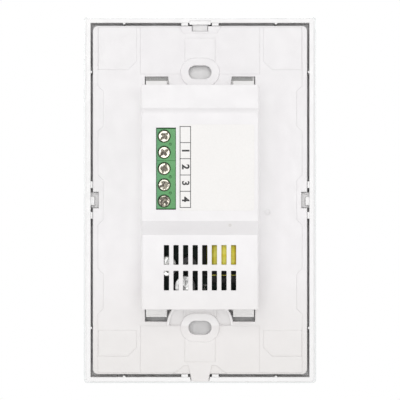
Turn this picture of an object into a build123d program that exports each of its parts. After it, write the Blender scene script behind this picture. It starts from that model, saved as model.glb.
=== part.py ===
from build123d import *
import math
import os

# Wall switch with a touch-sensitive glass front, for a single-gang wall box.
# Millimetres. X runs to the right and Z up as seen from the room, Y runs into the wall.
# The origin is midway between the two mounting slots, on the face of the wall.

# Glass front
panel_width = 76.8
panel_height = 121.0
panel_corner = 1.2
panel_projection = 11.5
glass_thickness = 3.0
glass_chamfer = 0.5
tape_thickness = 0.2
tape_width = 6.0
tape_margin = 1.5

# Frame behind the glass
glass_overhang = 1.3
frame_wall = 1.4
frame_web = 1.2
frame_corner = 1.0
rim_setback = 0.3
guide_width = 2.2
guide_offset = 5.0
guide_clearance = 0.1
snap_width = 2.7
snap_reach = 1.2
snap_z = -0.3
snap_drop = 0.8
snap_thickness = 2.6
filler_clearance = 0.15
top_filler_drop = 2.4
top_bump_half_width = 3.5
top_bump_reach = 0.55
top_bump_drop = 0.5
screw_head_room = 2.5
slot_pad_length = 10.4
slot_pad_width = 7.4
nub_radius = 0.45
nub_side_z = 41.8
nub_end_x = 24.8

# Mounting plate of the rear housing
side_gap = 0.75
end_gap = 1.0
plate_corner = 1.6
plate_thickness = 1.8
plate_setback = 0.6
plate_edge_round = 0.4
skirt_wall = 1.3
skirt_height = 2.6
border_width = 1.65
border_end_width = 0.5
border_drop = 0.3
pocket_reach = 3.4
pocket_height = 11.4
pocket_centre_z = 29.8
pocket_middle_height = 12.8
notch_height = 5.3
notch_depth = 1.9
pad_inner_x = 20.7
pad_inner_z = 42.5
pad_edge = 1.75
pad_chamfer = 2.8
pad_drop = 0.22
low_pad_outer_z = 51.0
field_half_width = 19.5
field_inner_z = 41.1
field_drop = 0.22
mark_x = -22.0
mark_z = -4.0
mark_diameter = 1.8
mark_depth = 0.5

# Mounting lugs
slot_spacing = 83.3
slot_length = 7.5
slot_width = 4.5
lug_length = 12.8
lug_width = 9.4
lug_edge_round = 0.25
neck_width = 9.9
neck_rise = 0.3
neck_end = 4.0
arch_radius = 10.9
arch_lip = 0.8
arch_rise = 0.3
arch_depth = 1.3
arch_floor = 0.9
arch_low = 0.75
rib_thickness = 0.7
rib_drop = 0.25
bridge_drop = 0.6

# Pull-off tab and its notch in the frame
tab_half_width = 3.8
tab_tip_half_width = 2.7
tab_slit = 0.3
tab_clearance = 0.4
top_recess_half_width = 7.0
top_recess_floor_half_width = 5.55
bottom_recess_half_width = 9.0
bottom_recess_floor_half_width = 5.3
recess_drop = 0.8
top_recess_depth = 2.35
bottom_recess_depth = 2.75
top_window_half_width = 2.65
top_window_depth = 1.7

# Box in the wall
box_width = 37.0
box_top = 36.0
box_bottom = -34.5
box_wall = 1.8
box_corner = 0.6
upper_depth = 28.0
middle_depth = 27.0
lower_depth = 22.0
step_z = 28.6
step_run = 0.8
step_foot = 1.6
slope_top_z = -6.6
slope_run = 4.4
vent_count = 8
vent_pitch = 3.02
vent_width = 1.65
vent_height = 6.2
vent_row_z = (-17.3, -25.4)
board_clearance = 0.4
ledge_reach = 1.2
ledge_width = 2.4
ledge_z = (-24.0, 26.0)
boss_diameter = 5.2

# Hooks of the inner plate, and the windows that they stand in
hook_width = 6.8
hook_thickness = 2.45
hook_tip_y = 0.9
barb_reach = 0.8
barb_height = 1.2
hook_clearance = 0.3
foot_rib = 0.95
foot_rib_drop = 0.3
window_side = 0.5
window_clearance = 0.4
window_top_slant = 0.7
window_top_z = 40.3
window_bottom_z = -39.7
ear_margin = 0.5
ear_side_gap = 0.2
arch_clearance = 0.9
upper_lug_clearance = 2.5

# Inner plate and touch board
chassis_thickness = 1.2
chassis_gap = 0.2
chassis_margin = 0.7
chassis_half_height = 34.0
module_window_width = 24.0
module_window_height = 32.0
module_z = -6.0
post_z = (-24.0, 22.0)
post_side = 2.6
touch_boss_height = 2.2
touch_boss_diameter = 4.6
touch_board_width = 60.0
touch_board_height = 66.0
touch_board_thickness = 1.2
touch_screw_inset = 4.0
touch_screw_end = 4.5
key_spacing = 36.0
spring_wire = 0.5
spring_base_radius = 4.6
spring_top_radius = 3.4
spring_turns = 3
spring_steps = 16
spring_sides = 6
spring_hole_clearance = 2.0
guide_rod_diameter = 3.2
led_length = 1.6
led_width = 0.8
led_height = 0.65
contact_gap = 0.05

# Radio module, chip and connector between the boards
module_width = 16.0
module_height = 24.0
module_thickness = 0.8
shield_inset = 1.0
antenna_height = 6.0
shield_height = 2.2
chip_length = 9.9
chip_width = 3.9
chip_height = 1.5
chip_inset = 9.5
chip_z = 10.0
lead_span = 6.0
lead_width = 0.42
lead_pitch = 1.27
lead_count = 8
pin_pitch = 2.54
pin_count = 6
pin_side = 0.64
pin_row_z = 31.4
socket_height = 8.5
socket_width = 2.5
pin_tail = 1.0

# Power board
power_board_y = 8.4
power_board_thickness = 1.6
lead_diameter = 0.7
hole_clearance = 0.1
lead_tail = 1.1
standoff = 0.3

# Screws
touch_screw_diameter = 2.0
touch_screw_head = 3.8
touch_screw_head_height = 0.8
touch_screw_length = 3.0
board_screw_diameter = 2.5
board_screw_head = 4.6
board_screw_head_height = 1.7
board_screw_length = 8.0
recess_width = 0.6
recess_depth = 0.6
thread_clearance = 0.03

# Screw terminals
terminal_pitch = 5.08
terminal_top_z = 22.5
block_width = 9.8
block_side_gap = 0.3
terminal_inset = 5.2
tower_inset = 2.8
tower_width = 5.95
tower_sink = 0.4
tower_end_gap = 0.2
dimple_diameter = 0.9
dimple_depth = 0.5
dimple_step = 1.9
shoulder_clearance = 0.4
shoulder_inset = 1.6
shoulder_y = 23.4
funnel_top_y = 19.0
chamber_length = 5.2
chamber_width = 4.3
chamber_floor = 1.2
screw_head_diameter = 3.8
screw_hole_gap = 0.1
screw_cross_length = 2.4
screw_cross_width = 0.75
screw_slot_length = 3.3
screw_slot_width = 0.5
screw_slot_depth = 0.3
screw_turned = (45.0, 38.0, 68.0, 24.0, 57.0)
screw_head_height = 1.8
screw_sink = 1.0
screw_diameter = 2.5
screw_shoulder = 1.0
screw_head_chamfer = 0.25
cage_clearance = 0.12
cage_wall = 0.45
cage_floor = 0.9
cage_roof = 1.7
cage_window = 5.3
contact_thickness = 0.8
contact_width = 2.2
contact_roof_gap = 0.1
funnel_width = 3.3
funnel_height = 4.0
funnel_mouth = 0.5
window_margin = 0.12
wire_window_margin = 0.3
two_way_poles = 2
three_way_poles = 3

# Parts on the power board
relay_length = 17.6
relay_share = 0.4335
relay_height = 12.3
relay_place = 0.279
relay_z = (19.6, 1.6)
relay_pin_side = 1.45
relay_pin_end = 1.6
coil_place = 0.3948
coil_z = -17.0
coil_length = 7.8
coil_width = 10.8
coil_height = 8.6
coil_round = 2.8
core_leg = 1.7
core_end = 2.2
core_middle_leg = 3.6
core_height = 4.8
core_gap = 0.15
core_tape = 0.3
bobbin_flange = 0.6
bobbin_tube_wall = 0.5
bobbin_pin_pitch = 2.5
bobbin_rail = 2.3
bobbin_rail_height = 4.2
output_cap_place = 0.9189
output_cap_z = -27.4
output_cap_diameter = 7.0
output_cap_height = 9.2
output_cap_leads = 3.0
input_cap_inset = 6.3
input_cap_z = -21.0
input_cap_diameter = 6.4
input_cap_height = 9.2
input_cap_leads = 2.5
cap_groove = 0.4
inductor_z = -20.5
inductor_diameter = 5.5
inductor_height = 7.0
inductor_dimple = 1.6
inductor_chamfer = 0.4
inductor_leads = 2.5
middle_place = 0.76
film_cap_z = 27.4
film_cap_share = 0.412
film_cap_leads = 7.5
film_cap_width = 4.6
film_cap_height = 10.5
varistor_z = 18.0
varistor_diameter = 8.6
varistor_thickness = 3.6
varistor_leads = 5.0
fuse_z = 7.5
fuse_share = 0.343
fuse_diameter = 3.2
fuse_lead_reach = 0.8
bridge_z = -3.2
bridge_length = 8.0
bridge_width = 6.4
bridge_height = 3.2
bridge_lead_x = 3.2
bridge_lead_z = 2.0

# Label
label_side = 1.5
label_top_z = 23.6
label_bottom_z = -3.3
label_thickness = 0.12
label_corner = 0.8

# Levels and outlines that follow from the sizes above
glass_front = -panel_projection
glass_back = glass_front + glass_thickness
web_front = glass_back + tape_thickness
web_back = web_front + frame_web
rim_back = -rim_setback
frame_width = panel_width - 2 * glass_overhang
frame_height = panel_height - 2 * glass_overhang
opening_width = frame_width - 2 * frame_wall
opening_height = frame_height - 2 * frame_wall
plate_width = opening_width - 2 * side_gap
plate_height = opening_height - 2 * end_gap
plate_back = -plate_setback
plate_front = plate_back - plate_thickness
skirt_front = plate_front - skirt_height
chassis_back = plate_front - chassis_gap
chassis_front = chassis_back - chassis_thickness
touch_board_back = chassis_back - touch_boss_height
touch_board_front = touch_board_back - touch_board_thickness
power_board_back = power_board_y + power_board_thickness
plate_half_width = plate_width / 2
plate_half_height = plate_height / 2
pad_outer_x = plate_half_width - pad_edge
pad_outer_z = plate_half_height - border_end_width
neck_end_z = plate_half_height - neck_end
tab_root_z = plate_half_height - bottom_recess_depth
slot_z = slot_spacing / 2
cavity_half_width = box_width / 2 - box_wall
cavity_top = box_top - box_wall
cavity_bottom = box_bottom + box_wall
window_outer_x = box_width / 2 - window_side
hook_inner_x = window_outer_x - window_clearance - hook_width
window_top_inner_x = hook_inner_x - window_clearance
block_outer_x = cavity_half_width - block_side_gap
block_inner_x = block_outer_x - block_width
terminal_x = block_outer_x - terminal_inset
tower_outer_x = block_outer_x - tower_inset
tower_inner_x = tower_outer_x - tower_width
shoulder_x = block_outer_x - shoulder_inset
room_width = block_inner_x + cavity_half_width
relay_width = relay_share * room_width
relay_x = relay_place * room_width - cavity_half_width
coil_x = coil_place * room_width - cavity_half_width
core_half_width = coil_width / 2 + core_gap + core_leg
core_half_height = coil_length / 2 + bobbin_flange + core_end
output_cap_x = output_cap_place * room_width - cavity_half_width
input_cap_x = cavity_half_width - input_cap_inset
inductor_x = (coil_x + core_half_width + core_tape + input_cap_x - input_cap_diameter / 2) / 2
middle_x = middle_place * room_width - cavity_half_width
film_cap_length = film_cap_share * room_width
fuse_length = fuse_share * room_width
fuse_reach = fuse_length / 2 + fuse_lead_reach
label_left_x = block_inner_x
label_right_x = label_side - box_width / 2
poles = two_way_poles + three_way_poles
terminal_bottom_z = terminal_top_z - poles * terminal_pitch
tower_top = middle_depth - tower_sink
chamber_top = tower_top - screw_sink - screw_head_height - screw_shoulder
chamber_bottom = power_board_back + chamber_floor
chamber_inner_x = terminal_x - chamber_length / 2
chamber_outer_x = terminal_x + chamber_length / 2
cage_height = cage_floor + cage_window + cage_roof
cage_bottom = chamber_bottom + cage_clearance
contact_back = cage_bottom + cage_floor + cage_window - contact_roof_gap
contact_front = contact_back - contact_thickness
key_z = (key_spacing / 2, -key_spacing / 2)
pole_z = [terminal_top_z - (i + 0.5) * terminal_pitch for i in range(poles)]
touch_screw_x = touch_board_width / 2 - touch_screw_inset
touch_screw_z = touch_board_height / 2 - touch_screw_end
chip_x = chip_inset - touch_board_width / 2
touch_screw_points = [(sx * touch_screw_x, sz * touch_screw_z) for sx in (1, -1) for sz in (1, -1)]
boss_inset = boss_diameter / 2 + 0.1
board_screw_points = [
    (cavity_half_width - boss_inset, cavity_top - boss_inset),
    (boss_inset - cavity_half_width, cavity_top - boss_inset),
    (cavity_half_width - boss_inset, cavity_bottom + boss_inset),
]
pin_x = [(i - (pin_count - 1) / 2) * pin_pitch for i in range(pin_count)]


def slab(outline, y_from, y_to):
    """An outline drawn in X and Z, as a solid between two depths."""
    start = min(y_from, y_to)
    return extrude(Plane.XZ.offset(-start) * outline, amount=abs(y_to - y_from), dir=(0, 1, 0))


def block(x_span, y_span, z_span):
    """A box between two values on each axis."""
    spans = (x_span, y_span, z_span)
    centre = [(low + high) / 2 for low, high in spans]
    size = [abs(high - low) for low, high in spans]
    return Pos(*centre) * Box(*size)


def rod(x, z, diameter, y_from, y_to):
    """A round bar along Y."""
    return slab(Pos(x, z) * Circle(diameter / 2), y_from, y_to)


def rounded(width, height, corner):
    return RectangleRounded(width, height, corner)


def mirrored(outline):
    """The outline with its left-hand twin."""
    return outline + mirror(outline, about=Plane.YZ)


def cut_all(body, tools):
    for tool in tools:
        body = body - tool
    return body


def fuse_all(body, tools):
    for tool in tools:
        body = body + tool
    return body


def vertex_at(sketch, point):
    """The corner of a sketch that lies nearest to a point."""
    target = Vector(*point)
    return sketch.vertices().sort_by(lambda v: (Vector(*v) - target).length)[0]


# Front panel


def glass_panel():
    glass = slab(rounded(panel_width, panel_height, panel_corner), glass_front, glass_back)
    rims = glass.faces().sort_by(Axis.Y)
    return chamfer(rims[0].edges() + rims[-1].edges(), glass_chamfer)


def panel_adhesive():
    width = frame_width - 2 * tape_margin
    height = frame_height - 2 * tape_margin
    outer = rounded(width, height, frame_corner)
    inner = rounded(width - 2 * tape_width, height - 2 * tape_width, frame_corner)
    return slab(outer - inner, glass_back, web_front)


def tab_outline(grow, reach):
    """The tapered tab at the bottom, widened by a slit on each side."""
    taper = (tab_half_width - tab_tip_half_width) / (frame_height / 2 - tab_root_z)
    root = tab_half_width + grow
    tip = root - taper * (reach - tab_root_z)
    return Polygon(
        (-root, -tab_root_z), (root, -tab_root_z), (tip, -reach), (-tip, -reach), align=None
    )


def front_frame():
    outer = rounded(frame_width, frame_height, frame_corner)
    inner = Rectangle(opening_width, opening_height)
    frame = slab(outer, web_front, rim_back) - slab(inner, web_back, rim_back)
    half_w = opening_width / 2
    half_h = opening_height / 2
    # blocks on all four walls that centre the plate
    side_reach = side_gap - guide_clearance
    end_reach = end_gap - guide_clearance
    guide_top = rim_back - 0.4
    blocks = []
    for side in (-1, 1):
        wall_x = side * half_w
        wall_z = side * half_h
        for offset in (-guide_offset, guide_offset):
            across = (offset - guide_width / 2, offset + guide_width / 2)
            blocks.append(block((wall_x, wall_x - side * side_reach), (web_back, guide_top), across))
            blocks.append(block(across, (web_back, guide_top), (wall_z, wall_z - side * end_reach)))
        # snap tongues in the side notches, and the steps that they stand on
        tongue_back = plate_back - snap_drop
        step_back = tongue_back - snap_thickness
        tongue_z = (snap_z - snap_width / 2, snap_z + snap_width / 2)
        blocks.append(block((wall_x, wall_x - side * snap_reach), (step_back - 0.5, tongue_back), tongue_z))
        step_x = (wall_x, side * (plate_half_width - notch_depth + filler_clearance))
        step_half = notch_height / 2 - filler_clearance
        blocks.append(block(step_x, (web_back, step_back), (-step_half, step_half)))
        # crush nubs
        for other in (-1, 1):
            blocks.append(rod(wall_x, other * nub_side_z, 2 * nub_radius, web_back, guide_top))
            blocks.append(rod(other * nub_end_x, wall_z, 2 * nub_radius, web_back, guide_top))
    # block in the window at the top of the plate, and the bump over it
    filler_half = top_window_half_width - filler_clearance
    filler_z = (half_h, plate_half_height - top_window_depth + filler_clearance)
    blocks.append(block((-filler_half, filler_half), (web_back, plate_back - top_filler_drop), filler_z))
    bump_x = (-top_bump_half_width, top_bump_half_width)
    bump_back = rim_back - top_bump_drop
    blocks.append(block(bump_x, (web_back, bump_back), (half_h, half_h - top_bump_reach)))
    # pads behind the mounting slots, which leave room for the heads of the wall screws
    pad_back = plate_front - screw_head_room
    for z in (slot_z, -slot_z):
        pad = Pos(0, z) * SlotOverall(slot_pad_length, slot_pad_width)
        blocks.append(slab(pad, web_back, pad_back))
    frame = fuse_all(frame, blocks)
    # nothing of the blocks may stand outside the walls
    frame = frame & slab(outer, web_front, rim_back)
    # notch for the tab, dimple in the top wall, openings for the touch springs
    tab_front = plate_front - tab_clearance
    notch = slab(tab_outline(tab_slit, frame_height / 2 + 0.5), tab_front, rim_back)
    dimple = block(bump_x, (bump_back, rim_back), (half_h, half_h + frame_wall / 2))
    hole_diameter = 2 * (spring_base_radius + spring_hole_clearance)
    holes = [rod(0, z, hole_diameter, web_front, web_back) for z in key_z]
    return cut_all(frame, [notch, dimple] + holes)


# Rear housing


def box_profile():
    """Side outline of the box: a raised end, the terminal level, a slope and the vented level."""
    slope_end_z = slope_top_z - slope_run
    points = [
        (plate_front, box_top),
        (upper_depth, box_top),
        (upper_depth, step_z),
        (middle_depth, step_z - step_run),
        (middle_depth, slope_top_z),
        (lower_depth, slope_end_z),
        (lower_depth, box_bottom),
        (plate_front, box_bottom),
    ]
    return Polygon(*points, align=None)


def box_shell():
    """The outside of the box as a solid, and the space in it."""
    profile = box_profile()
    cavity_profile = offset(profile, amount=-box_wall, kind=Kind.INTERSECTION)
    mouth = Pos((plate_front + lower_depth - box_wall) / 2 - 1, (cavity_top + cavity_bottom) / 2)
    mouth *= Rectangle(lower_depth - box_wall - plate_front + 2, cavity_top - cavity_bottom)
    cavity_profile = cavity_profile + mouth
    foot = vertex_at(profile, (middle_depth, step_z - step_run, 0))
    profile = fillet(foot, step_foot)
    brow = vertex_at(profile, (upper_depth, step_z, 0))
    profile = fillet(brow, box_corner)
    half = box_width / 2
    outside = extrude(Plane.YZ * profile, amount=half, both=True)
    ends = outside.edges().filter_by(lambda e: abs(abs(e.center().X) - half) < 0.01)
    ends = ends.filter_by(lambda e: e.bounding_box().max.Y > plate_back + 0.1)
    outside = fillet(ends, box_corner)
    cavity = extrude(Plane.YZ * cavity_profile, amount=cavity_half_width, both=True)
    return outside, cavity


def plate_field():
    """The part of the plate that stands above its lowered border, with its six side pockets."""
    field = Rectangle(plate_width - 2 * border_width, plate_height - 2 * border_end_width)
    edge = plate_width / 2 - border_width
    reach = pocket_reach - border_width
    tools = []
    for centre, height in (
        (pocket_centre_z, pocket_height),
        (0.0, pocket_middle_height),
        (-pocket_centre_z, pocket_height),
    ):
        low = centre - height / 2
        high = centre + height / 2
        pocket = Polygon(
            (edge, low - reach),
            (edge - reach, low),
            (edge - reach, high),
            (edge, high + reach),
            (edge + 1, high + reach),
            (edge + 1, low - reach),
            align=None,
        )
        tools.append(mirrored(pocket))
    return cut_all(field, tools)


def corner_pads():
    """Shallow fields in the four corners, each with its lower inner corner cut off."""
    upper = [
        (pad_inner_x + pad_chamfer, pad_inner_z),
        (pad_outer_x, pad_inner_z),
        (pad_outer_x, pad_outer_z),
        (pad_inner_x, pad_outer_z),
        (pad_inner_x, pad_inner_z + pad_chamfer),
    ]
    lower = [
        (pad_inner_x, -pad_inner_z),
        (pad_outer_x, -pad_inner_z),
        (pad_outer_x, -low_pad_outer_z),
        (pad_inner_x + pad_chamfer, -low_pad_outer_z),
        (pad_inner_x, pad_chamfer - low_pad_outer_z),
    ]
    pads = [Polygon(*points, align=None) for points in (upper, lower)]
    return pads + [mirror(pad, about=Plane.YZ) for pad in pads]


def centre_fields():
    """The fields above and below the box, between the corner pads."""
    height = pad_outer_z - field_inner_z
    centre = (pad_outer_z + field_inner_z) / 2
    width = 2 * field_half_width
    return [Pos(0, side * centre) * Rectangle(width, height) for side in (1, -1)]


def end_recess(half_width, floor_half_width, depth):
    """The tapered recess at the middle of the plate's top edge, or of its bottom edge when mirrored."""
    edge = plate_half_height
    floor_z = edge - depth
    return Polygon(
        (-half_width, edge + 1),
        (half_width, edge + 1),
        (half_width, edge),
        (floor_half_width, floor_z),
        (-floor_half_width, floor_z),
        (-half_width, edge),
        align=None,
    )


def hook_windows():
    """The four openings beside the box for the hooks of the inner plate."""
    upper = Polygon(
        (window_top_inner_x, window_top_z),
        (window_outer_x, window_top_z),
        (window_outer_x, box_top),
        (window_top_inner_x - window_top_slant, box_top),
        align=None,
    )
    width = window_outer_x
    height = box_bottom - window_bottom_z
    lower = Pos(width / 2, (box_bottom + window_bottom_z) / 2) * Rectangle(width, height)
    lower = lower - Pos(0, -slot_z) * Circle(arch_radius + 0.1)
    return mirrored(upper) + mirrored(lower)


def lug_outline():
    return SlotOverall(lug_length, lug_width)


def arch_recess():
    """The pocket round the upper side of the lower lug."""
    top = box_bottom
    bottom = -slot_z + arch_low
    disc = Pos(0, -slot_z) * Circle(arch_radius - arch_lip)
    band = Pos(0, (top + bottom) / 2) * Rectangle(3 * arch_radius, top - bottom)
    return (disc & band) - Pos(0, -slot_z) * lug_outline()


def plate():
    outline = rounded(plate_width, plate_height, plate_corner)
    body = slab(outline, plate_front, plate_back)
    body = fillet(body.faces().sort_by(Axis.Y)[-1].edges(), plate_edge_round)
    skirt_inner = rounded(
        plate_width - 2 * skirt_wall, plate_height - 2 * skirt_wall, plate_corner - skirt_wall / 2
    )
    body = body + slab(outline - skirt_inner, skirt_front, plate_front)
    border = rounded(plate_width + 1, plate_height + 1, plate_corner) - plate_field()
    body = body - slab(border, plate_back - border_drop, plate_back + 1)
    body = cut_all(body, [slab(p, plate_back - pad_drop, plate_back + 1) for p in corner_pads()])
    body = cut_all(body, [slab(f, plate_back - field_drop, plate_back + 1) for f in centre_fields()])
    return body


def lugs(body):
    """The plate with its lugs, necks and the arch over the lower lug."""
    lip_outer = Pos(0, -slot_z) * Circle(arch_radius)
    lip_inner = Pos(0, -slot_z) * Circle(arch_radius - arch_lip)
    upper_half = Pos(0, -slot_z + arch_low + arch_radius) * Rectangle(3 * arch_radius, 2 * arch_radius)
    well = slab(lip_outer & upper_half, plate_front - arch_depth + plate_thickness - arch_floor, plate_back)
    lip = slab((lip_outer - lip_inner) & upper_half, plate_back, plate_back + arch_rise)
    body = body + well + lip
    body = body - slab(arch_recess(), plate_back - arch_depth, plate_back + 1)
    for side in (1, -1):
        neck_length = neck_end_z - slot_z
        neck = Pos(0, side * (slot_z + neck_length / 2)) * Rectangle(neck_width, neck_length)
        body = body + slab(neck, plate_back - field_drop, plate_back - field_drop + neck_rise)
        lug = slab(Pos(0, side * slot_z) * lug_outline(), plate_front, 0)
        lug = fillet(lug.faces().sort_by(Axis.Y)[-1].edges(), lug_edge_round)
        body = body + lug
    # bridge with two ribs from the lower lug to the box
    bridge_half = neck_width / 2
    bridge_front = plate_back - arch_depth - 0.1
    bridge_z = (-slot_z + lug_width / 2 - 1.0, box_bottom + 0.5)
    body = body + block((-bridge_half, bridge_half), (bridge_front, plate_back - bridge_drop), bridge_z)
    for x in (-bridge_half, bridge_half):
        span = (x - rib_thickness / 2, x + rib_thickness / 2)
        body = body + block(span, (bridge_front, plate_back - rib_drop), bridge_z)
    return body


def plate_edges(body):
    """The notches, the recesses and the tab at the plate's edges."""
    half_w = plate_half_width
    half_h = plate_half_height
    for side in (-1, 1):
        edge = side * half_w
        span = (edge + side, edge - side * notch_depth)
        body = body - block(span, (skirt_front - 1, 1), (-notch_height / 2, notch_height / 2))
    tab_reach = frame_height / 2
    tab_shape = tab_outline(0, tab_reach)
    top_recess = end_recess(top_recess_half_width, top_recess_floor_half_width, top_recess_depth)
    bottom_sizes = (bottom_recess_half_width, bottom_recess_floor_half_width, bottom_recess_depth)
    bottom_recess = mirror(end_recess(*bottom_sizes), about=Plane.XZ) - tab_shape
    body = body - slab(top_recess, plate_back - recess_drop, plate_back + 1)
    body = body - slab(bottom_recess, plate_back - recess_drop, plate_back + 1)
    window_x = (-top_window_half_width, top_window_half_width)
    body = body - block(window_x, (skirt_front - 1, 1), (half_h + 1, half_h - top_window_depth))
    # the tab stands as high as the field above it
    tab_back = plate_back - field_drop
    body = body - slab(tab_shape, tab_back, 1)
    tab = slab(tab_shape, plate_front, tab_back)
    rim = tab.faces().sort_by(Axis.Y)[-1].edges().filter_by(lambda e: e.center().Z < -tab_root_z - 0.1)
    body = body + fillet(rim, plate_edge_round / 2)
    # the skirt stops at the tab, so that the frame can pass it
    clear_x = (-tab_half_width, tab_half_width)
    clear = block(clear_x, (skirt_front - 1, plate_front), (-half_h - 1, -tab_root_z))
    return body - clear


def box_details(body):
    """Windows, vents, bosses, ledges and hook catches of the box."""
    half = box_width / 2
    floor = {"upper": upper_depth - box_wall, "middle": middle_depth - box_wall}
    bosses = []
    for x, z in board_screw_points:
        depth = floor["upper"] if z > 0 else lower_depth - box_wall
        bosses.append(rod(x, z, boss_diameter, power_board_back, depth))
        web_x = (x, math.copysign(cavity_half_width, x))
        bosses.append(block(web_x, (power_board_back, depth), (z - 0.6, z + 0.6)))
    for z in ledge_z:
        depth = lower_depth - box_wall if z < slope_top_z else floor["middle"]
        for side in (-1, 1):
            inner = side * (cavity_half_width - ledge_reach)
            span = (side * (half - box_wall / 2), inner)
            bosses.append(block(span, (power_board_back, depth), (z - ledge_width / 2, z + ledge_width / 2)))
    body = fuse_all(body, bosses)
    pilot = board_screw_diameter + 2 * thread_clearance
    pilot_depth = board_screw_length - power_board_thickness + 1.0
    cuts = [rod(x, z, pilot, power_board_back, power_board_back + pilot_depth) for x, z in board_screw_points]
    # vents
    for row in vent_row_z:
        for i in range(vent_count):
            x = (i - (vent_count - 1) / 2) * vent_pitch
            slot = Pos(x, row) * RectangleRounded(vent_width, vent_height, 0.2)
            cuts.append(slab(slot, lower_depth - box_wall - 1, lower_depth + 1))
    # window over the screws, window beside the wire entries
    m = window_margin
    tower_x = (tower_inner_x - m, tower_outer_x + m)
    tower_z = (terminal_bottom_z - m, terminal_top_z + m)
    cuts.append(block(tower_x, (floor["middle"] - 1, middle_depth + 1), tower_z))
    m = wire_window_margin
    wire_z = (terminal_bottom_z - m, terminal_top_z + m)
    cuts.append(block((half - box_wall - 1, half + 1), (chamber_bottom - m, funnel_top_y + m), wire_z))
    # catches for the hooks, in the two end walls
    catch_back = hook_tip_y - 0.3
    catch_y = (catch_back - barb_height - 0.4, catch_back + 0.1)
    for wall_z in ((cavity_top - 0.5, box_top + 0.5), (box_bottom - 0.5, cavity_bottom + 0.5)):
        for side in (-1, 1):
            inner = side * (hook_inner_x - 0.2)
            outer = side * (hook_inner_x + hook_width + 0.2)
            cuts.append(block((inner, outer), catch_y, wall_z))
    return cut_all(body, cuts)


def rear_housing():
    outside, cavity = box_shell()
    body = lugs(plate())
    body = plate_edges(body)
    body = body - slab(hook_windows(), skirt_front, 1)
    body = body + outside
    body = body - cavity
    body = box_details(body)
    for side in (1, -1):
        slot = Pos(0, side * slot_z) * SlotOverall(slot_length, slot_width)
        body = body - slab(slot, skirt_front - 2, 1)
    mark = rod(mark_x, mark_z, mark_diameter, plate_back - mark_depth, plate_back + 1)
    return body - mark


# Inner plate with the hooks


def inner_chassis():
    width = plate_width - 2 * skirt_wall - 2 * chassis_margin
    plate_outline = rounded(width, 2 * chassis_half_height, 1.0)
    ear_width = 2 * (window_outer_x - ear_side_gap)
    ear_top = window_top_z + ear_margin
    ear_bottom = box_bottom - hook_clearance - hook_thickness - foot_rib
    ears = Pos(0, (ear_top + ear_bottom) / 2) * Rectangle(ear_width, ear_top - ear_bottom)
    outline = plate_outline + ears
    # room for the two lugs
    outline = outline - Pos(0, -slot_z) * Circle(arch_radius + arch_clearance)
    outline = outline - Pos(0, slot_z) * Circle(lug_length / 2 + upper_lug_clearance)
    window = Pos(0, module_z) * rounded(module_window_width, module_window_height, 1.5)
    pin_window = Pos(0, pin_row_z) * Rectangle(pin_count * pin_pitch + 1.2, socket_width + 1.0)
    chip_window = Pos(chip_x, chip_z) * Rectangle(lead_span + 2.0, chip_length + 2.0)
    body = slab(outline - window - pin_window - chip_window, chassis_front, chassis_back)
    # bosses for the touch board
    bosses = [rod(x, z, touch_boss_diameter, touch_board_back, chassis_front) for x, z in touch_screw_points]
    # posts that hold the power board on its ledges
    post_x = cavity_half_width - post_side
    half = post_side / 2
    posts = []
    for x in (-post_x, post_x):
        for z in post_z:
            span_y = (chassis_back, power_board_y - contact_gap)
            posts.append(block((x - half, x + half), span_y, (z - half, z + half)))
    body = fuse_all(body, bosses + posts)
    # hooks
    hooks = []
    catch_back = hook_tip_y - 0.3
    for side in (-1, 1):
        span = (side * hook_inner_x, side * (hook_inner_x + hook_width))
        for wall, out in ((box_top, 1), (box_bottom, -1)):
            near = wall + out * hook_clearance
            far = near + out * hook_thickness
            hooks.append(block(span, (chassis_back, hook_tip_y), (near, far)))
            barb_z = (near, near - out * (hook_clearance + barb_reach))
            hooks.append(block(span, (catch_back - barb_height, catch_back), barb_z))
            if out < 0:
                foot_back = plate_back - foot_rib_drop
                hooks.append(block(span, (chassis_back, foot_back), (far, far - foot_rib)))
    body = fuse_all(body, hooks)
    pilot = touch_screw_diameter + 2 * thread_clearance
    holes = [rod(x, z, pilot, touch_board_back, chassis_back) for x, z in touch_screw_points]
    return cut_all(body, holes)


# Touch board and what it carries


def touch_board():
    outline = rounded(touch_board_width, touch_board_height, 1.5)
    board = slab(outline, touch_board_front, touch_board_back)
    clearance = touch_screw_diameter + 0.3
    return cut_all(
        board, [rod(x, z, clearance, touch_board_front, touch_board_back) for x, z in touch_screw_points]
    )


def touch_springs():
    """Two conical springs that touch the back of the glass."""
    low = touch_board_front - spring_wire / 2 - contact_gap
    high = glass_back + spring_wire / 2 + contact_gap
    steps = spring_turns * spring_steps
    springs = []
    for z in key_z:
        points = []
        for i in range(steps + 1):
            turn = 2 * math.pi * i / spring_steps
            radius = spring_base_radius + (spring_top_radius - spring_base_radius) * i / steps
            y = low + (high - low) * i / steps
            points.append((radius * math.cos(turn), y, z + radius * math.sin(turn)))
        path = Polyline(*points)
        section = Plane(origin=path @ 0, z_dir=path % 0) * RegularPolygon(spring_wire / 2, spring_sides)
        springs.append(sweep(section, path=path, transition=Transition.RIGHT))
    return springs


def light_guides():
    rods = []
    for z in key_z:
        guide = rod(0, z, guide_rod_diameter, glass_back + contact_gap, touch_board_front - contact_gap)
        pocket = rod(0, z, led_length + 0.7, touch_board_front - led_height - 0.3, touch_board_front)
        rods.append(guide - pocket)
    return rods


def indicator_leds():
    leds = []
    for z in key_z:
        base = block(
            (-led_length / 2, led_length / 2),
            (touch_board_front - led_height / 2, touch_board_front),
            (z - led_width / 2, z + led_width / 2),
        )
        dome = block(
            (-led_length / 3, led_length / 3),
            (touch_board_front - led_height, touch_board_front - led_height / 2),
            (z - led_width / 2.4, z + led_width / 2.4),
        )
        leds.append(base + dome)
    return leds


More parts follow.
